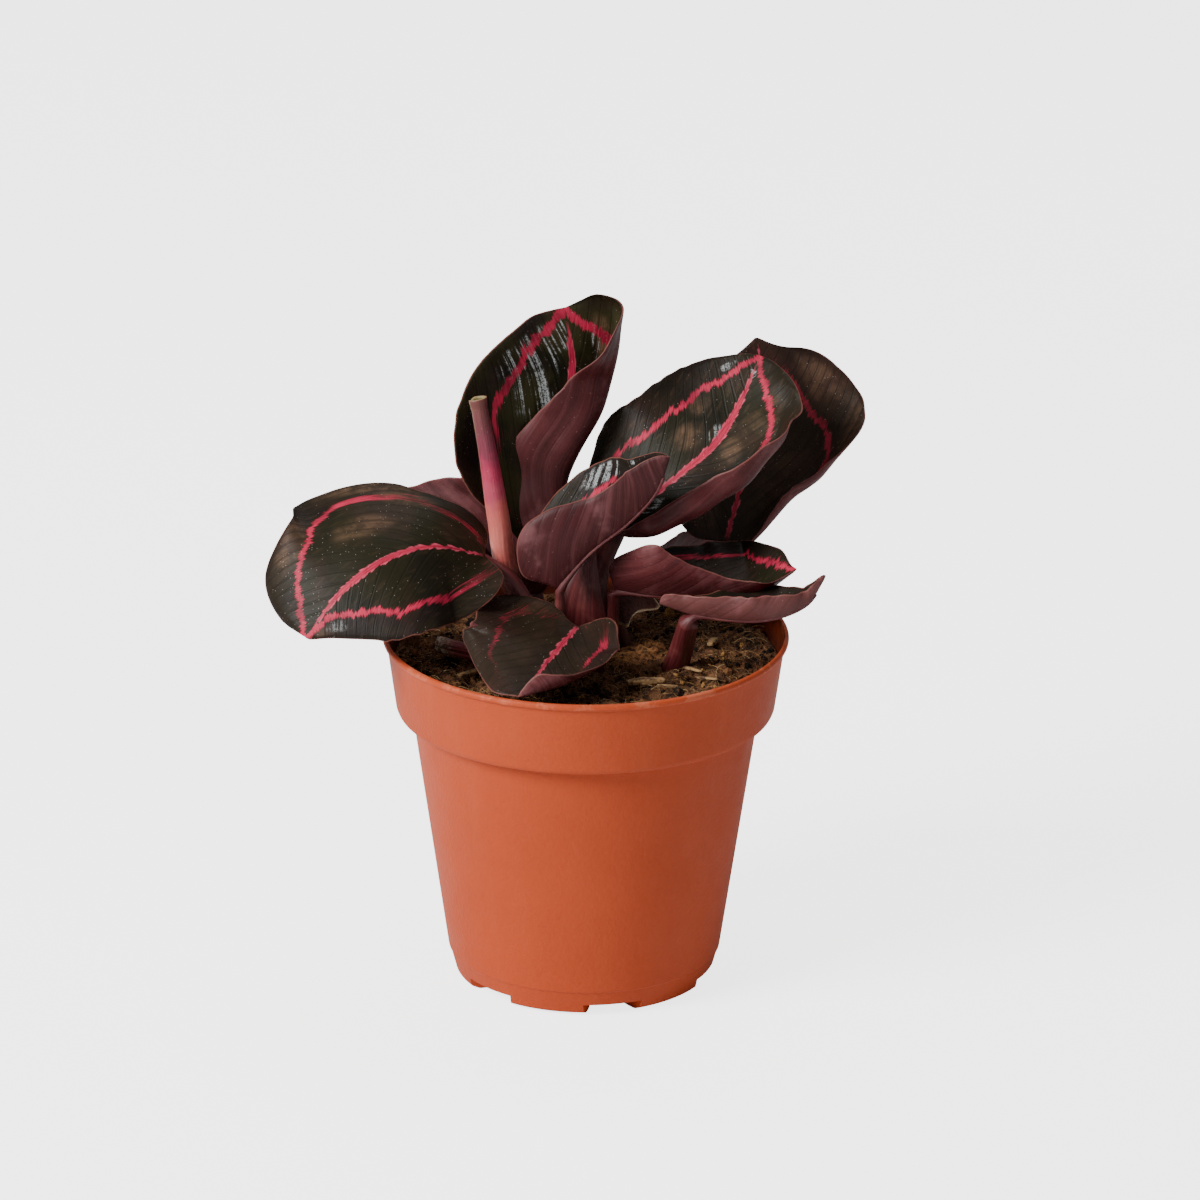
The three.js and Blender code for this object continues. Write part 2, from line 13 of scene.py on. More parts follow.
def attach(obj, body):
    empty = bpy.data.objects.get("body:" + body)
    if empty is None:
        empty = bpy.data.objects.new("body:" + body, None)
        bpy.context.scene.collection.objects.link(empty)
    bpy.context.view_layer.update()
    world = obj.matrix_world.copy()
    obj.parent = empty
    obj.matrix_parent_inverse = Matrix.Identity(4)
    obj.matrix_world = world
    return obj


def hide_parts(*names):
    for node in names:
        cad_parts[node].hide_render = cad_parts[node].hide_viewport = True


bl_info = {
    "name": "Potted Calathea",
    "version": (1, 0, 0),
    "blender": (4, 5, 0),
    "location": "View3D > Sidebar > Calathea",
    "description": "Builds a young calathea in a plastic pot, with soil and a studio stage",
    "category": "Add Mesh",
}

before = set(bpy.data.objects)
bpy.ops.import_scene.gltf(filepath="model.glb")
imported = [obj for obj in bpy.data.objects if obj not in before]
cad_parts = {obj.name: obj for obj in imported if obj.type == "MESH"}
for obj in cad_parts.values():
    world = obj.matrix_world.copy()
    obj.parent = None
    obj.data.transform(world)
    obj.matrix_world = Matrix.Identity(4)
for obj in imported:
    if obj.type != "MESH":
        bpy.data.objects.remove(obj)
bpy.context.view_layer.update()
MM = 0.001
SEED = 11

# ---- Leaves: laid out like the solid part's tables, with finer margins and the painted marks --
# rib: midrib from base to tip. face: where the upper side looks. left/right: the halves seen
# from above, tip ahead. width: of the half, from base to tip. fold and curl: slope of the half at
# the midrib and at the margin, in degrees. bend: where across the half this turn starts and ends.
# lobe: how far the margin lies ahead of its rib. wave: height, number and start of the waves.
# ring: where the rose ring lies, as a share of the half's width, from base to tip.
# glow: how strongly it is painted. stripe: half width of the painted midrib. vein: how far a
# lateral vein runs ahead for each millimetre outward, how much more near the margin, and how far
# apart the veins lie.
# glints and sheen: patches of painted silvery highlights and of painted tan sheen, each as place
# along the leaf, place across it, the two half sizes and the strength. look: amounts of the
# finish's features.
# cells: rows along the blade and columns across a half. joint: where the stalk meets the midrib.
# tail: how quickly the stalk thins under the midrib. under: which finish the underside has.

PLAIN_RING = [.6, .66, .68, .68, .68, .66, .62, .55, .42, .25, 0]
PLAIN_STRIPE = [.5, .7, .9, .8, .5, 0]
PLAIN_GLOW = [0, .3, .8, 1, 1, 1, 1, 1, 1, 1, .6]
PLAIN_LOBE = [-3, 0, 0]

LEAVES = [
    dict(
        name="leaf_tall", cells=(150, 34),
        rib=[(-13, 10, 100), (-10, 14, 118), (-7, 19, 137), (-4, 22, 157), (-6, 19, 175)],
        face=[(.1, -1, .2), (.1, -1, .2), (.1, -1, .5)],
        left=dict(width=[2, 9.1, 27.4, 33.3, 23.1, 8.7], fold=[10, 5, 0], curl=[52, 52, 10],
                  lobe=[-4, -1.3, -4.8, -4.1, 5.9, 2.4], wave=(.6, 2, 0),
                  ring=[.6, .6, .6, .58, .56, .54, .6, .57, .55, .53, .15],
                  glow=[0, 0, 0, 0, 0, .2, 1, 1, 1, 1, 1]),
        right=dict(width=[12.5, 20.8, 22.8, 25, 22.7, 23.1], curl=[194, 197, 198, 184, 129, 84],
                   bend=([.05, .07, 0, .17, .42, .67], [.6, .47, .42, .6, .62, .99]),
                   lobe=[-2.6, -4.1, 2.7, 3.1, 4.1, 4], wave=(.6, 6, 0),
                   ring=[.6, .62, .62, .62, .62, .6, .58, .57, .54, .25, 0]),
        stalk=[(-8, 7, 76), (-10.5, 8, 88), (-13, 10, 100)], radii=[2.4, 1.8],
        stripe=[.7, .95, 1.1, 1.2, .9, 0], vein=(3.2, 0, 11),
        look=dict(satin=.4, olive=1, ring=1.15),
        painted_glints=[(.82, -.62, .13, .24, 1), (.76, -.34, .19, .2, 1), (.88, -.16, .1, .14, .9),
               (.66, -.22, .14, .12, 1), (.84, .3, .09, .06, .8)],
        sheen_spots=[(.85, .4, .1, .14, 1.3), (.9, -.3, .06, .3, .3)],
    ),
    dict(
        name="leaf_right_front", cells=(140, 32),
        rib=[(8, 9, 119), (21, 8, 131), (32.5, 12, 140), (39.5, 19, 149.5), (44.5, 26, 160)],
        face=[(-.4, -.7, .5), (-.3, -.8, .5), (-.2, -.9, .5)],
        left=dict(width=[13.8, 23.5, 24.1, 22.8, 17.2, 9.7], curl=[3, 1, 7, 4, -3.5, -9],
                  lobe=[-8.4, -4.1, -4.3, 2, 2, -.9],
                  ring=[.7, .72, .66, .59, .61, .61, .57, .56, .43, .33, 0]),
        right=dict(width=[10, 20, 24, 24, 18, 9], fold=[10, 10, 10],
                   curl=[170, 165, 140, 90, 40, 0], bend=([.5, .5], [.85, .85]),
                   wave=(.6, 6, 0), ring=[.6, .6, .6, .58, .55, .52, .5, .5, .37, .24, 0],
                   glow=[0, 0, 0, 0, 0, 0, .4, 1, 1, 1, 1]),
        stalk=[(0, 6, 76), (1, 6, 92), (2.5, 7, 107), (8, 9, 119)], radii=[4.6, 4.4, 3.4, 1.8],
        stripe=[.5, .75, 1, 1.15, .7, 0], look=dict(satin=1),
        painted_glints=[(.9, -.55, .05, .12, .5), (.9, 0, .05, .1, .8), (.56, -.08, .07, .08, .5),
               (.15, .1, .07, .12, .9)],
        sheen_spots=[(.46, -.28, .1, .16, 1), (.52, .2, .1, .14, .9), (.64, -.43, .08, .12, .7),
               (.66, .3, .12, .2, .5), (.78, .5, .1, .14, .6)],
        sheath=dict(
            cells=(30, 12), relief=.5,
            rib=[(-1.8, 2.7, 90), (-1.6, 2.8, 95), (-1.2, 2.6, 100), (0, 2.6, 107), (2, 3, 115)],
            face=[(.63, .76, 0)] * 3,
            left=dict(width=[6.5, 7.5, 7, 5.5, 3, .3], curl=[50, 50, 50], lobe=[0, 0, 0]),
            right=dict(width=[8.5, 10, 9.5, 7.8, 4.5, .3], curl=[46, 46, 46], lobe=[0, 0, 0]),
        ),
    ),
    dict(
        name="leaf_right_back", cells=(120, 28),
        rib=[(36, 18, 111.5), (40, 26, 124.5), (44, 36, 138.5), (45, 44, 150.5), (44, 48, 157.5)],
        face=[(.2, -.9, .4)] * 3,
        left=dict(width=[14, 19, 18, 17, 9, 1], curl=[10, 5, 0],
                  ring=[.7, .72, .7, .7, .68, .65, .6, .5, .35, .15, 0],
                  glow=[0, 0, 0, 0, .3, .6, .6, .3, 0, -.6, -.6]),
        right=dict(width=[8.8, 17.8, 27.6, 28, 17, 1.5], curl=[149, 157, 140, 35, 50, 18],
                   bend=([.5, .5], [1, 1]), lobe=[-5, 2, -3, .5, .3, -3],
                   ring=[.7, .7, .7, .7, .75, .67, .45, .33, .2, .1, 0],
                   glow=[0, 0, 0, .1, .6, .7, .6, .3, 0, -.6, -.6]),
        stalk=[(4, 15, 76), (6, 16, 92), (14, 16, 101), (26, 17, 106), (36, 18, 111.5)],
        radii=[2.4, 1.5], stripe=[.6, .7, .6, .5, .3, 0], look=dict(satin=.5, blush=.8, brown=.7),
        sheen_spots=[(.7, .7, .14, .25, .7), (.52, .92, .14, .16, .7), (.1, -.5, .1, .3, .5),
               (.3, .4, .2, .3, .3)],
    ),
    dict(
        name="leaf_left_large", cells=(140, 30),
        rib=[(-26, -3, 115), (-39, -10, 120), (-51, -17, 119), (-62, -22, 112), (-71, -26, 101)],
        face=[(-.1, -.7, .7), (-.15, -.75, .65), (-.3, -.8, .5)],
        left=dict(width=[15.6, 20.2, 22.2, 20.2, 15.2, 2.4], curl=[70, -5, -10, -10, -9, -10],
                  lobe=[-4, -1.4, 2.1, 2.6, .8, -.8],
                  ring=[.46, .57, .66, .68, .67, .68, .66, .5, .36, .12, 0],
                  glow=[0, .45, .7, .8, 1, 1, 1, .8, 1, 1, .7]),
        right=dict(width=[9.7, 15.6, 24.4, 31.4, 23.6, 25.5],
                   curl=[-13, -16, -32, -33, -9.5, -23],
                   lobe=[-4.9, -3.8, -8, .5, -6, 1.3], wave=(.5, 3, 0),
                   ring=[.5, .62, .7, .8, .74, .75, .68, .65, .6, .32, .12],
                   glow=[0, .35, .2, .15, .4, .6, .8, 1, 1, 1, 1]),
        stalk=[(-8, -5, 76), (-12, -6, 94), (-18, -5, 108), (-26, -3, 115)], radii=[2.4, 1.5],
        stripe=[.3, .55, .8, .95, .75, 0], look=dict(satin=.5, dust=1),
        painted_glints=[(.88, -.5, .06, .25, .35)],
        sheen_spots=[(.42, .95, .16, .14, 1), (.33, .8, .12, .16, .8), (.8, .8, .12, .2, .7),
               (.5, .4, .14, .14, .8), (.95, -.5, .08, .3, .5)],
    ),
    dict(
        name="leaf_left_back", cells=(80, 18),
        rib=[(-21, 14, 103.5), (-31.5, 20, 113.5), (-41, 26, 117), (-50, 31, 117),
             (-58, 36, 114.5)],
        face=[(-.2, .8, .5)] * 3,
        left=dict(width=[11.2, 16.3, 15.8, 7.9, 3, 3], curl=[20, 18, 24, 13, 22, 20],
                  lobe=[-3, 1, -3.5, -1, 2, 0]),
        right=dict(width=[4, 12, 14, 14, 11, 6], curl=[20, 20, 20]),
        stalk=[(-8, 12, 76), (-13, 13, 92), (-21, 14, 103.5)], radii=[1.8, 1.3],
    ),
    dict(
        name="leaf_centre_boat", cells=(110, 26),
        rib=[(-7.5, -9, 108.5), (1, -9, 118.5), (10.5, -9, 126.5), (17.5, -11, 135.5),
             (21, -12, 145.5)],
        face=[(-.7, .2, .6)] * 3,
        left=dict(width=[10, 17, 19, 17, 12, 6], fold=[50, 50, 50], curl=[80, 80, 80],
                  ring=[.6, .62, .64, .65, .65, .66, .6, .58, .5, .4, .2],
                  glow=[0, .3, .8, 1, 1, 1, .7, .4, .1, 0, 0]),
        right=dict(width=[14, 17, 12, 10, 9, 5], fold=[60, 60, 60], curl=[110, 100, 90],
                   lobe=[-5, 0, 0]),
        stalk=[(-2.5, -6, 76), (-6, -8, 91), (-7.5, -9, 108.5)], radii=[1.9, 1.1],
        look=dict(satin=.3, glint_rate=1.5), under="shaded", tail=10,
        painted_glints=[(.58, -.82, .22, .16, .9), (.8, -.88, .1, .1, .7)],
    ),
    dict(
        name="leaf_front_low", cells=(110, 28),
        rib=[(-2, -14, 100), (-6, -23, 98.5), (-9.5, -31, 97), (-13, -40, 95.5), (-17, -48, 94)],
        face=[(.1, -.5, .85)] * 3,
        left=dict(width=[9.7, 13.1, 14.9, 14.7, 12.6, 7.8], curl=[71, 29, 44, 44, 91, 145],
                  bend=([.12, .2, .2, .16, .1, 0], [.91, 1, 1, 1, 1, .9]),
                  lobe=[-8, -4.4, -6.8, -5.3, -.5, -3],
                  ring=[.77, .73, .71, .64, .62, .62, .6, .5, .4, .3, .2],
                  glow=[0, .2, .6, .5, .5, .3, 0, 0, 0, 0, 0]),
        right=dict(width=[1.3, 22.2, 21.6, 22.3, 22.6, 7.8], curl=[16, -3, 9, 1, -24, -33],
                   wave=(.5, 3, 0), lobe=[-4.7, -7, 3, -5, -8, 4],
                   ring=[.6, .64, .66, .7, .7, .67, .65, .59, .53, .45, .2],
                   glow=[0, .1, .15, .2, .25, .3, .3, .25, .1, 0, 0]),
        stalk=[(3, -9, 76), (3, -10, 92), (-2, -14, 100)], radii=[1.5, 1.2],
        stripe=[.5, .8, .75, .5, .2, 0],
        look=dict(satin=.3, blush=.3, scallop=1, ring=.55, brown=.6),
        sheen_spots=[(.15, .8, .12, .2, .25), (.75, -.6, .15, .2, .3), (.5, .3, .2, .2, .2)],
    ),
    dict(
        name="leaf_low_right_inner", cells=(110, 26),
        rib=[(7, -1, 105.5), (17, -4, 105), (30.5, -5, 105), (43.5, -5, 105.5), (54, -3, 112)],
        face=[(0, -.2, 1)] * 3,
        left=dict(width=[5.7, 12.4, 19.6, 20.5, 23.7, 1], curl=[58, 62, 22, 26, 4, 34],
                  lobe=[-3.2, 0, 2.6, -2.6, 1.2, 4.8],
                  ring=[.7, .74, .76, .77, .78, .76, .78, .76, .7, .52, .4],
                  glow=[0, 0, .2, .6, .9, 1, 1, 1, .9, .9, .7]),
        right=dict(width=[7.9, 15.9, 13.4, 8.3, 8.2, 2.1], fold=[70, 60, 40],
                   curl=[119, 107, 99, 89, 55, 42], lobe=[-5.4, 2.2, -2.1, -2, .4, -5.7]),
        stalk=[(7.4, 4.2, 76), (7, 2, 90), (7, -1, 105.5)], radii=[1.8, 1.4],
        look=dict(satin=.5, ring=.6), tail=12,
    ),
    dict(
        name="leaf_low_right_outer", cells=(100, 16), joint=.2,
        rib=[(18.8, -14, 106.6), (29, -17, 104.5), (44, -19, 104), (55.5, -19, 108),
             (61, -17, 115.5)],
        face=[(0, .2, 1)] * 3,
        left=dict(width=[2, 8, 13, 13, 5.5, 1.5], curl=[59, 62, 63, 60, 53, 42],
                  lobe=[-.5, .9, -.2, .7, 2.2, 4]),
        right=dict(width=[4.2, 5, 6.9, 6.7, 2.8, 1.5], fold=[40, 40, 40],
                   curl=[90, 90, 90, 92, 87, 95], lobe=[-2.4, -3.6, -.5, -1.2, 4.9, 2.8],
                   wave=(.5, 5, .3)),
        stalk=[(20, -3, 76), (24, -9.5, 90.5), (27, -15, 103)], radii=[3.7, 2.5],
        look=dict(satin=.4), under="faded", tail=26,
    ),
    dict(
        name="leaf_back_low", cells=(70, 14),
        rib=[(11.5, 22.5, 96.5), (16.5, 30, 98), (21.5, 37, 99.5), (27, 43, 100), (33, 48, 98.5)],
        face=[(.1, .9, .4)] * 3,
        left=dict(width=[3, 6, 6, 6, 6, 4], curl=[20, 20, 20]),
        right=dict(width=[3, 8, 8, 8, 6, 4], curl=[20, 20, 20]),
        stalk=[(1, 20, 76), (4, 22, 88), (11.5, 22.5, 96.5)], radii=[1.6, 1.2],
    ),
    dict(
        name="leaf_old", cells=(60, 10), dry=True,
        rib=[(6, 11.5, 95), (8.5, 10, 99.2), (12, 9, 100.9), (15.5, 8, 100.4),
             (19, 7, 97.5)],
        face=[(-.3, -.9, .3), (0, -.9, .3), (.3, -.9, .3)],
        left=dict(width=[1, 1.5, 2, 2, 1.5, 1], fold=[-20, -20, -20], curl=[-90, -90, -90]),
        right=dict(width=[4, 8, 9.5, 8.5, 6, 2], fold=[20, 20, 20], curl=[40, 40, 40]),
        stalk=[(13, 9, 76), (10, 10, 88), (6.5, 11.5, 96.5)], radii=[1.6, 1],
    ),
]

FURLED_PATH = [(-7.5, 1, 76), (-12, 1.2, 92), (-20, 2.6, 108), (-22.5, .8, 124),
               (-25, -1.5, 141), (-28, -2.5, 158)]
FURLED_RADII = [2.6, 2.7, 2.95, 2.95, 2.5, 2.1]
STUB_PATH = [(-12, -10, 76), (-15, -9.5, 86), (-26, -7, 89), (-39, -4, 91.5)]
STUB_RADII = [1.7, 1.8, 1.9, 2.1]

BLADE_THICKNESS = .7
MARGIN_THICKNESS = .24
MARGIN_MIN_WIDTH = .3
END_ROUNDING = 8
SECTION_STEPS = 96
TAIL_SINK = .2
PLAIN_VEIN = (1.2, .02, 5.0)
MARGIN_REACH = 1.6
TAIL_RADIUS = .45
TAIL_END = .86


# ---- Curves and sections ---------------------------------------------------------------------

def along(values, u):
    """Smooth curve through equally spaced values, read at u from 0 to 1."""
    v = np.asarray(values, float)
    p = np.concatenate([[2 * v[0] - v[1]], v, [2 * v[-1] - v[-2]]])
    x = np.clip(np.atleast_1d(u), 0, 1) * (len(v) - 1)
    i = np.minimum(x.astype(int), len(v) - 2)
    t = x - i
    if v.ndim > 1:
        t = t[:, None]
    a, b, c, d = p[i], p[i + 1], p[i + 2], p[i + 3]
    return .5 * (2 * b + (c - a) * t + (2 * a - 5 * b + 4 * c - d) * t * t
                 + (3 * b - a - 3 * c + d) * t ** 3)


def unit(v):
    return v / np.linalg.norm(v, axis=-1, keepdims=True)


def direction(points, u):
    step = .001
    u = np.atleast_1d(u)
    return unit(along(points, np.minimum(u + step, 1)) - along(points, np.maximum(u - step, 0)))


def smooth_step(low, high, x):
    t = np.clip((x - low) / (high - low), 0, 1)
    return t * t * (3 - 2 * t)


def smooth_noise(x, y, seed):
    """Soft noise from -1 to 1, a sum of seeded waves."""
    random = np.random.default_rng(seed)
    total = 0
    for _ in range(6):
        a, b = random.uniform(-1, 1, 2)
        total = total + np.sin(a * x + b * y + random.uniform(0, 6.28))
    return total / 4


def section(side, u, t):
    """Outward and upward offsets and slope of one half's section, for a width of one."""
    starts, ends = side.get("bend", ([0, 0], [1, 1]))
    start = along(starts, u)[:, None]
    end = along(ends, u)[:, None]
    fold = np.radians(along(side.get("fold", [0, 0]), u))[:, None]
    curl = np.radians(along(side.get("curl", [0, 0]), u))[:, None]

    def slope(s):
        return fold + (curl - fold) * np.clip((s[None] - start) / (end - start), 0, 1)

    middle = (np.arange(SECTION_STEPS) + .5) / SECTION_STEPS
    zero = np.zeros((len(u), 1))
    out = np.concatenate([zero, np.cumsum(np.cos(slope(middle)), 1)], 1) / SECTION_STEPS
    up = np.concatenate([zero, np.cumsum(np.sin(slope(middle)), 1)], 1) / SECTION_STEPS
    place = t * SECTION_STEPS
    i = np.minimum(place.astype(int), SECTION_STEPS - 1)
    f = place - i
    out, up = (v[:, i] * (1 - f) + v[:, i + 1] * f for v in (out, up))
    return out, up, slope(t)


def rib_frame(leaf, u):
    ahead = direction(leaf["rib"], u)
    face = along(leaf["face"], u)
    face = unit(face - (face * ahead).sum(1, keepdims=True) * ahead)
    return along(leaf["rib"], u), ahead, face, np.cross(ahead, face)


def blade_half(leaf, side, sign, u, t, seed):
    """Points, normals and painted marks of one half of a blade, rows from base to tip."""
    origin, ahead, face, across = rib_frame(leaf, u)
    ends = np.sqrt(np.maximum(1 - (2 * u - 1) ** END_ROUNDING, 0))
    width = np.maximum(along(side["width"], u), 0) * ends + MARGIN_MIN_WIDTH
    out, up, slope = section(side, u, t)
    height, waves, phase = side.get("wave", (0, 1, 0))
    row = np.sin(2 * np.pi * (waves * u + phase)) * ends
    step = np.linalg.norm(np.diff(origin, axis=0), axis=1)
    length = np.concatenate([[0], np.cumsum(step)])
    reach = width[:, None] * t[None]
    lobe = along(side.get("lobe", PLAIN_LOBE), u) * smooth_step(0, 10, width)
    slant, turn, pitch = leaf.get("vein", PLAIN_VEIN)
    vein = (length[:, None] - slant * reach - turn * reach ** 2) / pitch + 40
    scale = leaf.get("relief", 1) * smooth_step(0, 5, reach) * smooth_step(0, 3, width)[:, None]
    fine = .02 * np.cos(2 * np.pi * vein) + .12 * smooth_noise(2.1 * vein, .18 * reach, seed)
    wave = height * row[:, None] * t[None] ** 2 + scale * fine
    scallop = leaf.get("look", {}).get("scallop", 0)
    nibble = .25 * smooth_noise(1.6 * length, 0, seed + 5) * (1 + scallop) * ends
    edge = t[None] ** 6 * nibble[:, None]
    x = width[:, None] * out - wave * np.sin(slope) + edge * np.cos(slope)
    y = width[:, None] * up + wave * np.cos(slope) + edge * np.sin(slope)
    forward = (lobe[:, None] * t[None] ** 2)[..., None]
    points = (origin[:, None] + sign * x[..., None] * across[:, None]
              + y[..., None] * face[:, None] + forward * ahead[:, None])
    normals = (np.cos(slope)[..., None] * face[:, None]
               - sign * np.sin(slope)[..., None] * across[:, None])
    ring = along(side.get("ring", PLAIN_RING), u) * width
    run = np.gradient(ring, np.maximum(length, 1e-6 * np.arange(len(u))))
    from_ring = (reach - ring[:, None]) / np.sqrt(1 + run[:, None] ** 2)
    from_rib = reach - along(leaf.get("stripe", PLAIN_STRIPE), u)[:, None]
    from_margin = np.minimum(width[:, None] - reach, (length[-1] - length)[:, None] + .2)
    from_margin = np.minimum(from_margin, length[:, None] + 1)
    marks = np.stack([from_ring, from_rib, from_margin], -1)
    spread = sign * np.broadcast_to(t[None], reach.shape)
    place = np.stack([vein, np.broadcast_to(u[:, None], reach.shape), spread], -1)
    glow = np.broadcast_to(along(side.get("glow", PLAIN_GLOW), u)[:, None], reach.shape)
    # strengths of the painted glints and of the painted sheen, from the listed patches
    painted_glints = patches(leaf.get("painted_glints", []), u[:, None], spread)
    sheen_spots = patches(leaf.get("sheen_spots", []), u[:, None], spread)
    return points, normals, marks, place, np.stack([np.clip(glow, 0, 1), painted_glints, sheen_spots], -1)


def patches(spots, u, across):
    """Strength of soft oval patches on a blade."""
    total = np.zeros(across.shape)
    for at_u, at_across, size_u, size_across, strength in spots:
        away = np.sqrt(((u - at_u) / size_u) ** 2 + ((across - at_across) / size_across) ** 2)
        total = np.maximum(total, strength * smooth_step(1.15, .45, away))
    return total


def sheet_faces(rows, columns):
    """Faces of a closed sheet, and for each whether it is above (0) or below and rim (1)."""
    width = columns + 1
    count = (rows + 1) * width
    a = (np.arange(rows)[:, None] * width + np.arange(columns)[None]).ravel()
    top = np.stack([a, a + 1, a + width + 1, a + width], 1)
    bottom = np.stack([a, a + width, a + width + 1, a + 1], 1) + count
    border = np.array([*range(columns), *(i * width + columns for i in range(rows)),
                       *(rows * width + k for k in range(columns, 0, -1)),
                       *(i * width for i in range(rows, 0, -1))])
    after = np.roll(border, -1)
    rim = np.stack([border, border + count, after + count, after], 1)
    kinds = np.repeat([0, 1, 1], [len(top), len(bottom), len(rim)])
    return np.concatenate([top, bottom, rim]), kinds


def ring_faces(rows, sides, start=0, inward=False):
    """Quads between rings of vertices that follow each other."""
    faces = []
    for i in range(rows - 1):
        for k in range(sides):
            a, b = (start + i * sides + j for j in (k, (k + 1) % sides))
            faces.append((a, a + sides, b + sides, b) if inward else (a, b, b + sides, a + sides))
    return faces


def blade_arrays(leaf, seed):
    """Vertices, faces, face kinds and marks of a closed blade."""
    rows, cells = leaf["cells"]
    even = np.linspace(0, 1, rows + 1)
    u = .5 * ((1 - np.cos(np.pi * even)) / 2) + .5 * even
    t = np.linspace(0, 1, cells + 1)
    left = blade_half(leaf, leaf["left"], -1, u, t, seed)
    right = blade_half(leaf, leaf["right"], 1, u, t, seed + 1)
    points, normals, *values = [np.concatenate([a[:, ::-1], b[:, 1:]], 1)
                                for a, b in zip(left, right)]
    normals[:, cells] = rib_frame(leaf, u)[2]
    thin = smooth_step(0, MARGIN_REACH, np.maximum(values[0][..., 2], 0))
    half = (MARGIN_THICKNESS + (BLADE_THICKNESS - MARGIN_THICKNESS) * thin)[..., None] / 2
    sides = [(points + sign * normals * half).reshape(-1, 3) for sign in (1, -1)]
    values = [np.concatenate([v.reshape(-1, 3)] * 2) for v in values]
    return (np.concatenate(sides), *sheet_faces(rows, 2 * cells), values)


def tube_arrays(centres, directions, radii, sides=24):
    """A closed round tube through centres, with u along it and the angle round it as marks."""
    side = unit(np.cross(np.array([0, 1, 0]), directions))
    other = np.cross(directions, side)
    angle = 2 * np.pi * np.arange(sides) / sides
    ring = (np.cos(angle)[None, :, None] * side[:, None]
            + np.sin(angle)[None, :, None] * other[:, None])
    rows = len(centres)
    points = centres[:, None] + np.asarray(radii).reshape(rows, -1, 1) * ring
    vertices = np.concatenate([points.reshape(-1, 3), centres[:1], centres[-1:]])
    faces = ring_faces(rows, sides)
    first, last = rows * sides, (rows - 1) * sides
    for k in range(sides):
        after = (k + 1) % sides
        faces += [(first, after, k), (first + 1, last + k, last + after)]
    u = np.repeat(np.linspace(0, 1, rows), sides)
    place = np.stack([u, np.tile(angle / (2 * np.pi), rows), 0 * u], 1)
    return vertices, faces, np.concatenate([place, [[0, 0, 0]], [[1, 0, 0]]])


def under_rib(leaf, u, radius):
    origin, _, face, _ = rib_frame(leaf, np.atleast_1d(u))
    return origin - face * np.maximum(np.atleast_1d(radius) - TAIL_SINK, 0)[:, None]


def stalk_arrays(leaf):
    """The stalk, which runs on under the midrib and thins out towards the tip."""
    joint = leaf.get("joint", 0)
    foot = leaf["radii"][-1]
    path = [*leaf["stalk"][:-1], under_rib(leaf, joint, foot)[0]]
    u = np.linspace(0, 1, 36)
    tail = np.linspace(0, 1, 30)[1:]
    reach = joint + (TAIL_END - joint) * tail
    thin = TAIL_RADIUS + (foot - TAIL_RADIUS) * (1 - tail) ** leaf.get("tail", 3.5)
    centres = np.concatenate([along(path, u), under_rib(leaf, reach, thin)])
    heading = np.concatenate([direction(path, u), direction(leaf["rib"], reach)])
    radii = np.concatenate([along(leaf["radii"], u), thin])
    angle = 2 * np.pi * np.arange(24) / 24
    groove = 1 - .035 * smooth_noise(7 * np.cos(angle), 7 * np.sin(angle), 3)[None]
    return tube_arrays(centres, heading, radii[:, None] * groove)


# ---- Meshes ----------------------------------------------------------------------------------

def make_object(name, vertices, faces, materials=(), indices=None, smooth=True):
    mesh = bpy.data.meshes.new(name)
    mesh.from_pydata([tuple(v) for v in np.asarray(vertices) * MM], [],
                     [tuple(map(int, f)) for f in faces])
    for material in materials:
        mesh.materials.append(material)
    if indices is not None:
        mesh.polygons.foreach_set("material_index", np.asarray(indices, dtype=np.int32))
    if smooth:
        mesh.shade_smooth()
    mesh.update()
    obj = bpy.data.objects.new(name, mesh)
    bpy.context.scene.collection.objects.link(obj)
    return obj


def add_vectors(mesh, name, values):
    attribute = mesh.attributes.new(name, "FLOAT_VECTOR", "POINT")
    attribute.data.foreach_set("vector", np.asarray(values, dtype=np.float32).ravel())


def add_uv(mesh, values):
    layer = mesh.uv_layers.new(name="UVMap")
    corner = np.empty(len(mesh.loops), dtype=np.int32)
    mesh.loops.foreach_get("vertex_index", corner)
    layer.data.foreach_set("uv", np.asarray(values, dtype=np.float32)[corner].ravel())


def finish_piece(obj, slot, *nodes):
    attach(obj, "root")
    if nodes:
        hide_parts(*nodes)


def apply_modifiers(obj):
    """Keeps the evaluated mesh and drops the modifiers."""
    graph = bpy.context.evaluated_depsgraph_get()
    mesh = bpy.data.meshes.new_from_object(obj.evaluated_get(graph))
    obj.modifiers.clear()
    obj.data = mesh
    return obj


def face_outward(obj):
    mesh = bmesh.new()
    mesh.from_mesh(obj.data)
    bmesh.ops.recalc_face_normals(mesh, faces=mesh.faces)
    if mesh.calc_volume(signed=True) < 0:
        bmesh.ops.reverse_faces(mesh, faces=mesh.faces)
    mesh.to_mesh(obj.data)
    mesh.free()


def cut(target, cutter):
    """Cuts one object out of another and removes the cutter."""
    modifier = target.modifiers.new("Cut", "BOOLEAN")
    modifier.operation = "DIFFERENCE"
    modifier.solver = "MANIFOLD"
    modifier.object = cutter
    before = len(target.data.polygons)
    apply_modifiers(target)
    if len(target.data.polygons) in (0, before):
        raise RuntimeError(f"{cutter.name} did not change {target.name}")
    bpy.data.objects.remove(cutter)


def finish_cut(obj, material, angle):
    """Gives a cut solid its one material and keeps the edges sharp that turn by more."""
    mesh = obj.data
    mesh.materials.clear()
    mesh.materials.append(material)
    mesh.polygons.foreach_set("material_index", np.zeros(len(mesh.polygons), dtype=np.int32))
    mesh.shade_smooth()
    mesh.set_sharp_from_angle(angle=math.radians(angle))


# ---- Node helpers ----------------------------------------------------------------------------

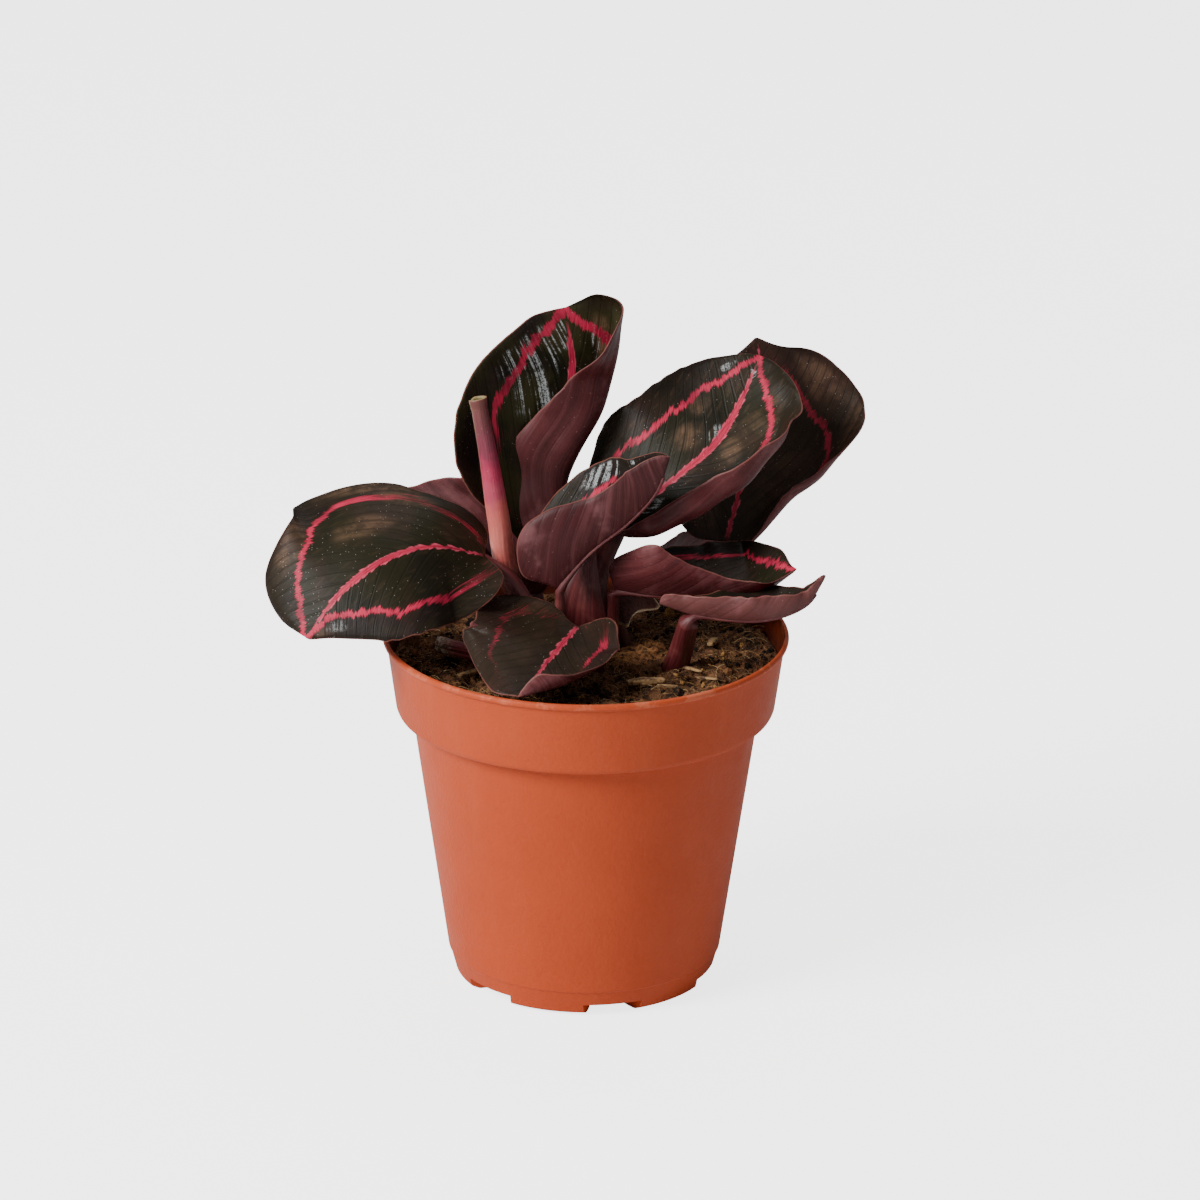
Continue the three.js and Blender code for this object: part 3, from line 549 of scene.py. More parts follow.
class Nodes:
    """Short ways to add and link nodes in one tree."""

    def __init__(self, tree):
        self.tree = tree

    def put(self, socket, value):
        if isinstance(value, bpy.types.NodeSocket):
            self.tree.links.new(value, socket)
        elif value is not None:
            socket.default_value = value

    def add(self, kind, values=None, **settings):
        node = self.tree.nodes.new(kind)
        for key, value in settings.items():
            setattr(node, key, value)
        for key, value in (values or {}).items():
            self.put(node.inputs[key], value)
        return node

    def math(self, operation, a, b=None, c=None):
        return self.add("ShaderNodeMath", {0: a, 1: b, 2: c}, operation=operation).outputs[0]

    def times(self, a, *others):
        for b in others:
            a = self.math("MULTIPLY", a, b)
        return a

    def times_plus(self, a, b, c):
        return self.math("MULTIPLY_ADD", a, b, c)

    def centred(self, value):
        return self.math("SUBTRACT", value, .5)

    def ramp(self, value, low, high, to_low=0.0, to_high=1.0, smooth=True):
        kind = "SMOOTHSTEP" if smooth else "LINEAR"
        return self.add("ShaderNodeMapRange", {"Value": value, "From Min": low, "From Max": high,
                                               "To Min": to_low, "To Max": to_high},
                        interpolation_type=kind).outputs[0]

    def even(self, value, to_low, to_high):
        """The middle of a noise, spread evenly between two values."""
        return self.ramp(value, .3, .7, to_low, to_high, smooth=False)

    def mix(self, factor, a, b):
        return self.add("ShaderNodeMix", {0: factor, 6: a, 7: b}, data_type="RGBA").outputs[2]

    def tint(self, colour, text, mask, *amount):
        """The colour, mixed toward a hex colour by the mask and the amount."""
        return self.mix(self.times(mask, *amount), colour, rgb(text))

    def noise(self, vector, scale, detail=3.0, rough=.55):
        return self.add("ShaderNodeTexNoise", {"Vector": vector, "Scale": scale, "Detail": detail,
                                               "Roughness": rough}).outputs["Fac"]

    def strokes(self, a, rate_a, b, rate_b, detail=3.0, rough=.55):
        """Noise over two values, each at its own rate, so that it runs in strokes."""
        place = self.vector(self.times(a, rate_a), self.times(b, rate_b))
        return self.noise(place, 1.0, detail, rough)

    def vector(self, x, y, z=0.0):
        return self.add("ShaderNodeCombineXYZ", {0: x, 1: y, 2: z}).outputs[0]

    def split(self, vector):
        return self.add("ShaderNodeSeparateXYZ", {0: vector}).outputs

    def attribute(self, name, kind="Vector"):
        return self.add("ShaderNodeAttribute", attribute_name=name).outputs[kind]

    def marks(self, name):
        return self.split(self.attribute(name))

    def group(self, name, values):
        tree = bpy.data.node_groups[name]
        return self.add("ShaderNodeGroup", values, node_tree=tree).outputs

    def tone(self, vector, scale, contrast, dark, light):
        return self.group("Uneven Tone", {"Vector": vector, "Scale": scale, "Contrast": contrast,
                                          "Dark": tuple(dark), "Light": tuple(light)})

    def dust(self, colour, text, vector, scale, amount, strength):
        mask = self.group("Fine Dust", {"Vector": vector, "Scale": scale, "Amount": amount})
        return self.tint(colour, text, mask["Mask"], strength)

    def real(self, geometry, material, out):
        """Ends a Geometry Nodes tree: real meshes in their material."""
        real = self.add("GeometryNodeRealizeInstances", {"Geometry": geometry})
        painted = self.add("GeometryNodeSetMaterial",
                           {"Geometry": real.outputs[0], "Material": material})
        self.put(out["Geometry"], painted.outputs[0])


def rgb(text):
    """Linear colour from a hex string."""
    parts = [int(text[i:i + 2], 16) / 255 for i in (0, 2, 4)]
    linear = [p / 12.92 if p <= .04045 else ((p + .055) / 1.055) ** 2.4 for p in parts]
    return (*linear, 1.0)


def new_material(name):
    """A material with its node helper and the place in the object."""
    material = bpy.data.materials.new(name)
    material.use_nodes = True
    n = Nodes(material.node_tree)
    return material, n, n.add("ShaderNodeTexCoord").outputs["Object"]


def finish(material, colour, rough, relief=None, specular=None):
    """Gives the shader its values. relief holds height, strength and distance."""
    n = Nodes(material.node_tree)
    inputs = n.tree.nodes["Principled BSDF"].inputs
    n.put(inputs["Base Color"], colour)
    n.put(inputs["Roughness"], rough)
    n.put(inputs["Specular IOR Level"], specular)
    if relief:
        height, strength, distance = relief
        bump = n.add("ShaderNodeBump", {"Height": height, "Strength": strength,
                                        "Distance": distance})
        n.put(inputs["Normal"], bump.outputs[0])
    return material


FLOAT = "NodeSocketFloat"
INT = "NodeSocketInt"
VECTOR = "NodeSocketVector"
COLOUR = "NodeSocketColor"
GEOMETRY = "NodeSocketGeometry"
MATERIAL = "NodeSocketMaterial"


def new_group(name, inputs, outputs, kind="ShaderNodeTree"):
    """A tree with named sockets. Returns it, its helper and the sockets inside it."""
    tree = bpy.data.node_groups.new(name, kind)
    for label, socket_type, default in inputs:
        socket = tree.interface.new_socket(label, in_out="INPUT", socket_type=socket_type)
        if default is not None:
            socket.default_value = default
    for label, socket_type in outputs:
        tree.interface.new_socket(label, in_out="OUTPUT", socket_type=socket_type)
    n = Nodes(tree)
    return tree, n, n.add("NodeGroupInput").outputs, n.add("NodeGroupOutput").inputs


def geometry_group(name, inputs):
    inputs = [("Geometry", GEOMETRY, None), *inputs, ("Material", MATERIAL, None)]
    return new_group(name, inputs, [("Geometry", GEOMETRY)], "GeometryNodeTree")


def socket_key(tree, name):
    for item in tree.interface.items_tree:
        if item.item_type == "SOCKET" and item.in_out == "INPUT" and item.name == name:
            return item.identifier
    raise ValueError(f"no input called {name}")


def run_group(obj, tree, values):
    """Runs a Geometry Nodes tree on an object and keeps what it makes."""
    modifier = obj.modifiers.new(tree.name, "NODES")
    modifier.node_group = tree
    for label, value in values.items():
        modifier[socket_key(tree, label)] = value
    apply_modifiers(obj)


def make_shared_groups():
    """The effects that several finishes share."""
    _, n, inp, out = new_group(
        "Painted Band",
        [("Distance", FLOAT, 0.0), ("Half Width", FLOAT, 1.0), ("Lateral", FLOAT, 0.0),
         ("Across", FLOAT, 0.0), ("Jag", FLOAT, .8)],
        [("Mask", FLOAT)])
    lateral = inp["Lateral"]
    strokes = n.strokes(lateral, 9.0, inp["Across"], .1, 3.0, .7)
    steps = n.noise(n.vector(n.math("FLOOR", n.times(lateral, 1.6)), 7.0), 3.7, 1.0)
    swell = n.noise(n.vector(n.times(lateral, 1.3), 31.0), 1.0, 2.0)
    shift = n.math("ADD", n.times(n.centred(strokes), 3.0), n.times(n.centred(steps), 2.6))
    moved = n.times_plus(shift, inp["Jag"], inp["Distance"])
    width = n.times(inp["Half Width"], n.ramp(swell, .32, .68, .45, 1.45, smooth=False))
    inside = n.math("SUBTRACT", width, n.math("ABSOLUTE", moved))
    n.put(out["Mask"], n.ramp(inside, -.2, .2))

    _, n, inp, out = new_group(
        "Fine Dust", [("Vector", VECTOR, None), ("Scale", FLOAT, 900.0), ("Amount", FLOAT, .3)],
        [("Mask", FLOAT)])
    cell = n.add("ShaderNodeTexVoronoi", {"Vector": inp["Vector"], "Scale": inp["Scale"]}).outputs
    patch = n.noise(inp["Vector"], 60.0, 2.0)
    limit = n.times(inp["Amount"], n.ramp(patch, .35, .7))
    chosen = n.math("LESS_THAN", n.split(cell["Color"])[0], limit)
    n.put(out["Mask"], n.times(n.ramp(cell["Distance"], .22, .1), chosen))

    _, n, inp, out = new_group(
        "Uneven Tone",
        [("Vector", VECTOR, None), ("Scale", FLOAT, 40.0), ("Dark", COLOUR, None),
         ("Light", COLOUR, None), ("Contrast", FLOAT, .2)],
        [("Color", COLOUR), ("Value", FLOAT)])
    value = n.noise(inp["Vector"], inp["Scale"], 5.0, .6)
    shade = n.ramp(value, n.math("SUBTRACT", .5, inp["Contrast"]),
                   n.math("ADD", .5, inp["Contrast"]))
    n.put(out["Color"], n.mix(shade, inp["Dark"], inp["Light"]))
    n.put(out["Value"], shade)

    _, n, inp, out = new_group(
        "Leaf Veins", [("Lateral", FLOAT, 0.0), ("Across", FLOAT, 0.0)],
        [("Height", FLOAT), ("Between", FLOAT), ("Line", FLOAT), ("Streak", FLOAT)])
    wave = n.times_plus(n.math("COSINE", n.times(inp["Lateral"], 2 * math.pi)), .5, .5)
    line = n.ramp(wave, .9, 1.0)
    streak = n.strokes(inp["Lateral"], 9.0, inp["Across"], .09, 4.0, .6)
    n.put(out["Height"], n.times_plus(line, -.35, n.times(streak, .5)))
    n.put(out["Between"], n.math("SUBTRACT", 1.0, wave))
    n.put(out["Line"], line)
    n.put(out["Streak"], streak)


# ---- Leaf finishes ---------------------------------------------------------------------------

def leaf_upper_material(leaf, settings):
    """Near-black olive blade with the painted ring and midrib, painted tan sheen patches and
    painted silvery glints.
    """
    look = leaf.get("look", {})
    blush = look.get("blush", 0)
    material, n, objects = new_material(leaf["name"] + "_upper")
    from_ring, from_rib, from_margin = n.marks("leaf_marks")
    vein, u, across = n.marks("leaf_place")
    # ring strength, then the strengths of the painted glints and of the painted sheen
    glow, glint_strength, spot_sheen = n.marks("leaf_paint")
    lateral = n.times_plus(n.math("SIGN", across), 37.0, vein)
    veins = n.group("Leaf Veins", {"Lateral": lateral, "Across": from_rib})
    streak = n.ramp(veins["Streak"], .4, .62)
    base = n.mix(n.ramp(from_ring, .6, -1.6), tuple(settings.outer_colour),
                 tuple(settings.inner_colour))
    base = n.tint(base, "38341c", n.ramp(n.noise(objects, 55.0), .35, .6),
                  .25 + .6 * look.get("olive", 0))
    brown = n.ramp(n.noise(objects, 80.0, 2.0), .48, .68)
    base = n.tint(base, "3c2822", n.times_plus(brown, .4, .5 * look.get("brown", 0)))
    # painted sheen: tan patches between the laterals, in random cells and in the listed spots,
    # stand in for light caught on the blade
    cell = n.noise(n.vector(n.math("FLOOR", lateral), n.times(from_rib, .13)), 5.3, 1.0)
    chosen = n.times(n.ramp(cell, .54, .66), n.ramp(veins["Between"], .25, .6),
                     .2 * look.get("satin", .4))
    sheen_spots = n.times(spot_sheen, n.ramp(veins["Between"], .1, .55, .7, 1.0))
    broken = n.ramp(n.noise(objects, 230.0, 4.0, .65), .36, .62, .25, 1.0)
    satin = n.times(n.math("MAXIMUM", chosen, n.times(sheen_spots, broken)),
                    n.times_plus(streak, .5, .5))
    base = n.tint(base, "7a5c46", satin, .75)
    base = n.tint(base, "0d0907", veins["Line"], n.times_plus(satin, .6, .15))
    ring = n.group("Painted Band", {"Distance": from_ring, "Half Width": look.get("ring", .78),
                                    "Lateral": lateral, "Across": from_rib, "Jag": 1.2})["Mask"]
    thin = n.strokes(lateral, 17.0, from_ring, .5, 2.0)
    level = n.times_plus(n.centred(thin), 1.6, glow)
    ring = n.times(ring, n.ramp(level, .1, .6), 1.0 - .5 * blush)
    rose = n.mix(n.ramp(n.noise(objects, 160.0), .3, .6), tuple(settings.ring_dark),
                 tuple(settings.ring_colour))
    colour = n.mix(ring, base, n.tint(rose, "d84c68", streak, .22))
    rib = n.group("Painted Band", {"Distance": n.math("ADD", from_rib, .9), "Half Width": .9,
                                   "Lateral": n.times(lateral, 1.7), "Across": 0.0,
                                   "Jag": .12})["Mask"]
    rib = n.times(rib, n.times(n.ramp(u, .955, .9), n.ramp(u, .0, .06)))
    pink = n.mix(n.ramp(n.strokes(from_rib, 3.0, u, 9.0), .35, .62), rgb("9e1c38"), rgb("cc3450"))
    pink = n.tint(pink, "d65a6e", n.ramp(from_rib, -.45, .1))
    colour = n.mix(n.times(rib, 1.0 - .35 * blush), colour, pink)
    grain = n.add("ShaderNodeTexVoronoi", {"Vector": objects, "Scale": 2300.0}).outputs["Distance"]
    # painted glints: silvery grains in bands along the laterals, a painted reflection, kept off the
    # ring and midrib
    wide = n.strokes(lateral, look.get("glint_rate", 3.1), from_rib, .05, 2.0, .5)
    glint_speckle = n.times_plus(n.noise(objects, 420.0, 4.0, .75), .45, wide)
    band = n.times_plus(n.strokes(lateral, 21.0, from_rib, .05, 2.0), .35, glint_speckle)
    pits = n.times_plus(n.noise(objects, 1500.0, 3.0, .7), .9, grain)
    bare = n.math("SUBTRACT", 1.0, n.times(n.math("MAXIMUM", ring, rib), .85))
    painted_glints = n.times(n.ramp(band, .9, 1.02), n.ramp(glint_strength, .1, .75),
                    n.ramp(pits, .72, .95, .12, 1.0), bare)
    colour = n.tint(colour, "c4c8c8", painted_glints, .8)
    colour = n.dust(colour, "b9aca4", objects, 1500.0, .22 + .25 * look.get("dust", 0), .5)
    edge = n.times_plus(n.centred(n.noise(objects, 260.0, 2.0)), .4, from_margin)
    colour = n.mix(n.times(n.ramp(edge, .34, .1), .75), colour, tuple(settings.margin_colour))
    rough = n.times_plus(satin, .06, n.even(veins["Streak"], .36, .52))
    height = n.times_plus(n.noise(objects, 1500.0, 2.0), .12, veins["Height"])
    return finish(material, colour, rough, (height, .7, .0002), .14)


def leaf_under_material(settings, name, text=None, amount=0.0):
    """Maroon underside with fine laterals, painted soft highlights and painted shade along folds,
    mixed toward a hex colour.
    """
    material, n, objects = new_material(name)
    _, from_rib, from_margin = n.marks("leaf_marks")
    vein = n.marks("leaf_place")[0]
    veins = n.group("Leaf Veins", {"Lateral": vein, "Across": from_rib})
    tone = n.tone(objects, 48.0, .24, settings.under_dark, settings.under_colour)
    colour = tone["Color"]
    if text:
        colour = n.tint(colour, text, n.times_plus(tone["Value"], .3, amount))
    colour = n.tint(colour, "83484a", n.ramp(veins["Streak"], .45, .7), .16)
    # painted highlights: soft pinkish patches and lighter folds; painted shade in the darker folds
    colour = n.tint(colour, "8e5c5e", n.ramp(n.noise(objects, 95.0, 4.0, .6), .52, .72), .4)
    fold_shading = n.strokes(vein, 1.1, from_rib, .05, 2.0)
    colour = n.tint(colour, "7d4a4c", n.ramp(fold_shading, .5, .7), .35)
    colour = n.tint(colour, "22090c", n.ramp(fold_shading, .45, .3), .4)
    colour = n.tint(colour, "2a0d10", veins["Line"], .12)
    colour = n.tint(colour, "8f5a50", n.ramp(from_margin, .4, .1), .55)
    colour = n.dust(colour, "b48a84", objects, 1500.0, .16, .4)
    rough = n.ramp(veins["Streak"], .3, .75, .38, .55, smooth=False)
    return finish(material, colour, rough, (veins["Height"], .45, .0002), .2)


def stalk_material(name, dark, light, foot):
    """Maroon stalk with fine lengthwise lines and a foot of its own colour."""
    material, n, objects = new_material(name)
    u, turn, _ = n.marks("stalk_place")
    angle = n.times(turn, 2 * math.pi)
    place = n.vector(n.math("COSINE", angle), n.math("SINE", angle), n.times(u, .5))
    lines = n.noise(place, 5.0, 4.0, .6)
    colour = n.mix(n.ramp(lines, .2, .8), rgb(dark), rgb(light))
    colour = n.tint(colour, "9a5a50", n.ramp(n.noise(objects, 130.0), .5, .7), .3)
    colour = n.tint(colour, foot, n.ramp(u, .3, .08), .7)
    return finish(material, colour, n.even(lines, .32, .5), (lines, .6, .0003))


def dry_leaf_material():
    """Papery brown leaf with a tan rim and dark lines along it."""
    material, n, objects = new_material("leaf_dry_paper")
    _, from_rib, from_margin = n.marks("leaf_marks")
    lines = n.strokes(n.marks("leaf_place")[0], 9.0, from_rib, .2, 4.0, .6)
    colour = n.mix(n.ramp(lines, .3, .75), rgb("5e342c"), rgb("7c4638"))
    colour = n.tint(colour, "8a6244", n.ramp(n.noise(objects, 260.0), .55, .75), .2)
    colour = n.tint(colour, "f2d2ac", n.ramp(from_margin, 1.4, .3))
    return finish(material, colour, n.even(lines, .6, .8), (lines, .9, .0004))


def leaf_piece(leaf, seed, materials):
    """One leaf: blade, stalk and, where it has one, the sheath at its foot."""
    vertices, faces, kinds, values = blade_arrays(leaf, seed)
    parts = [(vertices, faces, kinds, *values, np.zeros_like(vertices))]
    vertices, faces, place = stalk_arrays(leaf)
    none = np.zeros_like(vertices)
    parts.append((vertices, faces, [2] * len(faces), none + 3, place, none, place))
    if "sheath" in leaf:
        vertices, faces, _, values = blade_arrays(leaf["sheath"], seed + 50)
        across = values[1][:, 2]
        place = np.stack([np.full(len(across), .5), across * .3, np.zeros(len(across))], 1)
        parts.append((vertices, faces, [3] * len(faces), *values, place))
        materials = [*materials, bpy.data.materials["sheath_skin"]]
    starts = np.cumsum([0] + [len(part[0]) for part in parts])
    faces = [[k + start for k in face] for part, start in zip(parts, starts) for face in part[1]]
    vertices, kinds, *values = [np.concatenate([part[k] for part in parts])
                                for k in (0, 2, 3, 4, 5, 6)]
    obj = make_object(leaf["name"] + "_fine", vertices, faces, materials, kinds)
    for name, value in zip(("leaf_marks", "leaf_place", "leaf_paint", "stalk_place"), values):
        add_vectors(obj.data, name, value)
    add_uv(obj.data, values[1][:, [2, 1]] * [.5, 1] + [.5, 0])
    finish_piece(obj, "leaf_dry" if leaf.get("dry") else "leaf", leaf["name"])


# ---- Furled leaf and cut stub ----------------------------------------------------------------

FURL_TURNS = 1.7
FURL_SHEET = .5
FURL_PITCH = .5


def furled_arrays(rows=150, columns=96):
    """A leaf still rolled round itself: one thick sheet wound in a spiral along its path."""
    u = np.linspace(0, 1, rows + 1)
    turn = np.linspace(0, FURL_TURNS, columns + 1)
    top = 1 - .008 * (.5 - .5 * np.cos(2 * np.pi * (turn - .15))) - .05 * smooth_step(.7, 1.2, turn)
    place = u[:, None] * np.ones_like(turn)[None]
    place = np.where(place > .8, .8 + (place - .8) / .2 * (top[None] - .8), place)
    flat = place.ravel()
    turns = np.tile(turn, rows + 1)
    centres = along(FURLED_PATH, flat)
    heading = direction(FURLED_PATH, flat)
    side = unit(np.cross(np.array([.2, 1, 0]), heading))
    other = np.cross(heading, side)
    angle = np.tile(2 * np.pi * turn + 2.7, rows + 1) + 1.2 * flat
    out = np.cos(angle)[:, None] * side + np.sin(angle)[:, None] * other
    radius = along(FURLED_RADII, flat) + .1 - FURL_SHEET / 2
    wound = radius - FURL_PITCH * turns * (1 - .1 * flat)
    wound = wound + .05 * smooth_noise(30 * flat, 2 * angle, 9)
    lip = smooth_step(.965, 1, flat / np.tile(top, rows + 1))
    wound = wound + lip * smooth_step(1.4, .9, turns) * .4
    half = FURL_SHEET / 2
    vertices = [centres + (wound + side)[:, None] * out for side in (half, -half)]
    marks = np.stack([flat, turns, 0 * flat], 1)
    marks = np.concatenate([marks, marks + [0, 0, 1]])
    return (np.concatenate(vertices), *sheet_faces(rows, columns), marks)


FURLED_STOPS = [(.3, "4a1a14"), (1.0, "703a34"), (.4, "6a2a1e"), (.46, "c46058"), (.55, "e67c70"),
                (.64, "d86660"), (.7, "c04a60"), (.77, "b82a50"), (.83, "842a42"), (.9, "6e2e36")]


def furled_material(inside):
    """Dusty mauve tip, vivid pink below it, salmon-tan and a red-brown foot."""
    material, n, objects = new_material("furled_inside" if inside else "furled_outside")
    u, turn, _ = n.marks("stalk_place")
    lines = n.strokes(turn, 30.0, u, 6.0, 4.0, .6)
    if inside:
        colour = n.mix(n.ramp(lines, .35, .7), rgb("4d5426"), rgb("8d8a4a"))
        colour = n.tint(colour, "a88a62", n.ramp(u, .975, 1.0))
    else:
        wander = n.times(n.centred(n.noise(objects, 260.0)), .14)
        ramp = n.add("ShaderNodeValToRGB", {0: n.math("ADD", u, wander)})
        stops = ramp.color_ramp.elements
        for k, (position, text) in enumerate(FURLED_STOPS):
            stop = stops[k] if k < 2 else stops.new(position)
            stop.position = position
            stop.color = rgb(text)
        colour = n.tint(ramp.outputs[0], "d98a8c", n.ramp(lines, .5, .75), .12)
        colour = n.tint(colour, "5b2c33", n.ramp(lines, .45, .2), .3)
        colour = n.tint(colour, "8a7455", n.ramp(turn, .05, .02), .4)
        colour = n.dust(colour, "d8b8b0", objects, 1300.0, .3, .35)
    return finish(material, colour, n.even(lines, .36, .55), (lines, .7, .0003))


def stub_material():
    """Channelled maroon stalk with a pink edge and a whitish torn end."""
    material, n, objects = new_material("stub_skin")
    u, turn, _ = n.marks("stalk_place")
    lines = n.strokes(turn, 22.0, u, 3.0, 4.0, .6)
    colour = n.mix(n.ramp(lines, .35, .65), rgb("823840"), rgb("c8626a"))
    edge = n.ramp(n.math("ABSOLUTE", n.math("SUBTRACT", turn, .3)), .05, .02)
    colour = n.tint(colour, "d0687a", edge, .7)
    torn = n.ramp(n.math("ADD", u, n.times(n.centred(lines), .25)), .84, .97)
    pale = n.mix(n.ramp(n.noise(objects, 1500.0), .35, .65), rgb("8f7f68"), rgb("e6dcc8"))
    rough = n.ramp(torn, 0.0, 1.0, .42, .8)
    return finish(material, n.mix(torn, colour, pale), rough, (lines, .9, .0004))


def stub_arrays(sides=40):
    """The cut stalk: channelled along its upper side, its end torn into fibres."""
    u = np.linspace(0, 1, 90)
    heading = direction(STUB_PATH, u)
    angle = 2 * np.pi * np.arange(sides) / sides
    radii = along(STUB_RADII, u)[:, None] * np.ones(sides)[None]
    upward = np.exp(-((angle - 4.4) / .45) ** 2)[None]
    radii = radii * (1 - .38 * upward * smooth_step(.35, .6, u)[:, None])
    radii = radii * (1 - .03 * smooth_noise(9 * np.cos(angle), 9 * np.sin(angle), 8)[None])
    ragged = smooth_noise(14 * np.cos(angle), 14 * np.sin(angle), 12)[None]
    radii = radii * (1 - .28 * smooth_step(.93, 1, u)[:, None] * (.5 + .5 * ragged))
    vertices, faces, place = tube_arrays(along(STUB_PATH, u), heading, radii, sides)
    last = slice((len(u) - 1) * sides, len(u) * sides)
    vertices[last] += heading[-1] * (.9 * ragged[0] - .9)[:, None]
    vertices[-1] -= heading[-1] * 1.6
    return vertices, faces, place


# ---- Pot -------------------------------------------------------------------------------------

FLOOR = 1.4
WALL = 1.3
NOTCH_HEIGHT = 3.2
NOTCH_TURNS = [math.radians(-77 + 60 * k) for k in range(6)]
NOTCH_REACH = (40, 29, 25)
NOTCH_HALF_WIDTHS = (12.6, 4.2)
DRAIN_PLACE = 25
DRAIN_RADIUS = 3
DRAIN_CUT = 8
CUT_START = -1
COLLAR_SLOPE = .1387


def collar_radius(height):
    return 47.7 + .1741 * (height - 73.2)


OUTSIDE = [(0, 0), (31.6, 0), (33.6, .9), (35.2, 7.0), (35.5, 7.2), (35.6, 7.7), (45.1, 73.6),
           (48.6, 73.15), (49.05, 74.2), (51.45, 91.5), (52.25, 91.75), (52.5, 92.4), (52.3, 93.05),
           (51.8, 93.3), (0, 93.3)]
CAVITY = [(0, FLOOR), (32, FLOOR), (34.3, 7.3), (43.8, 74.5), (collar_radius(75.5), 75.5),
          (collar_radius(92.9), 92.9), (collar_radius(93.3) + .3, 93.4), (52, 94.2), (0, 94.2)]


def rounded(profile, radius=.35, steps=4):
    """The profile with its inner corners rounded and its long runs split."""
    points = [np.array(p, float) for p in profile]
    result = [points[0]]
    for before, corner, after in zip(points, points[1:], points[2:]):
        a = corner - before
        b = after - corner
        cut_back = min(radius, .42 * np.linalg.norm(a), .42 * np.linalg.norm(b))
        start = corner - a / np.linalg.norm(a) * cut_back
        end = corner + b / np.linalg.norm(b) * cut_back
        for i in range(steps + 1):
            s = i / steps
            result.append((1 - s) ** 2 * start + 2 * s * (1 - s) * corner + s * s * end)
    result.append(points[-1])
    fine = [result[0]]
    for point in result[1:]:
        base = fine[-1]
        pieces = max(1, int(np.linalg.norm(point - base) / 4))
        fine += [base + (point - base) * (k + 1) / pieces for k in range(pieces)]
    return fine


def turning_tree():
    """Geometry Nodes: turns a profile, given as a line of vertices, into a closed solid."""
    tree, n, inp, out = geometry_group("Turned Solid", [("Segments", INT, 192),
                                                        ("Profile Points", INT, 40)])
    columns = n.math("ADD", inp["Segments"], 1.0)
    grid = n.add("GeometryNodeMeshGrid", {"Vertices X": inp["Profile Points"],
                                          "Vertices Y": columns})
    index = n.add("GeometryNodeInputIndex").outputs[0]
    row = n.math("FLOOR", n.math("DIVIDE", n.math("ADD", index, .5), columns))
    column = n.math("SUBTRACT", index, n.times(row, columns))
    sample = n.add("GeometryNodeSampleIndex", data_type="FLOAT_VECTOR", domain="POINT")
    n.put(sample.inputs["Geometry"], inp["Geometry"])
    n.put(sample.inputs["Value"], n.add("GeometryNodeInputPosition").outputs[0])
    n.put(sample.inputs["Index"], row)
    radius, _, height = n.split(sample.outputs[0])
    angle = n.math("DIVIDE", n.times(column, 2 * math.pi), inp["Segments"])
    place = n.vector(n.times(radius, n.math("COSINE", angle)),
                     n.times(radius, n.math("SINE", angle)), height)
    moved = n.add("GeometryNodeSetPosition", {"Geometry": grid.outputs["Mesh"],
                                              "Position": place}).outputs[0]
    merged = n.add("GeometryNodeMergeByDistance", {"Geometry": moved, "Distance": 1e-6})
    n.real(merged.outputs[0], inp["Material"], out)
    return tree


def turned_object(name, profile, segments, material, tree):
    points = rounded(profile)
    obj = make_object(name, [(p[0], 0, p[1]) for p in points], [], [material])
    run_group(obj, tree, {"Segments": segments, "Profile Points": len(points),
                          "Material": material})
    face_outward(obj)
    return obj


def prisms(name, outlines, bottom, top):
    """Upright prisms over the outlines, as one cutter."""
    vertices, faces = [], []
    for outline in outlines:
        count = len(outline)
        low = [len(vertices) + i for i in range(count)]
        high = [i + count for i in low]
        vertices += [(*point, height) for height in (bottom, top) for point in outline]
        faces += [low[::-1], high]
        faces += zip(low, low[1:] + low[:1], high[1:] + high[:1], high)
    obj = make_object(name, vertices, faces)
    face_outward(obj)
    return obj


def channel_object(name, grow, top):
    """The six drain channels: round inner ends that flare outwards."""
    outer, inner = (half + grow for half in NOTCH_HALF_WIDTHS)
    mouth, middle, end = NOTCH_REACH
    side = []
    for i in range(13):
        s = i / 12
        side.append(((1 - s) ** 2 * mouth + 2 * s * (1 - s) * middle + s * s * end,
                     (1 - s) ** 2 * outer + 2 * s * (1 - s) * inner + s * s * inner))
    arc = [(end - inner * math.sin(math.pi * i / 16), inner * math.cos(math.pi * i / 16))
           for i in range(1, 16)]
    outline = side + arc + [(x, -y) for x, y in side[::-1]]
    turned = [[(math.cos(turn) * x - math.sin(turn) * y, math.sin(turn) * x + math.cos(turn) * y)
               for x, y in outline] for turn in NOTCH_TURNS]
    return prisms(name, turned, CUT_START, top)


def drain_object():
    """The six round holes through the floor."""
    circles = []
    for turn in NOTCH_TURNS:
        x, y = DRAIN_PLACE * math.cos(turn), DRAIN_PLACE * math.sin(turn)
        angles = [2 * math.pi * i / 40 for i in range(40)]
        circles.append([(x + DRAIN_RADIUS * math.cos(a), y + DRAIN_RADIUS * math.sin(a))
                        for a in angles])
    return prisms("drain_cutter", circles, -DRAIN_CUT, DRAIN_CUT)


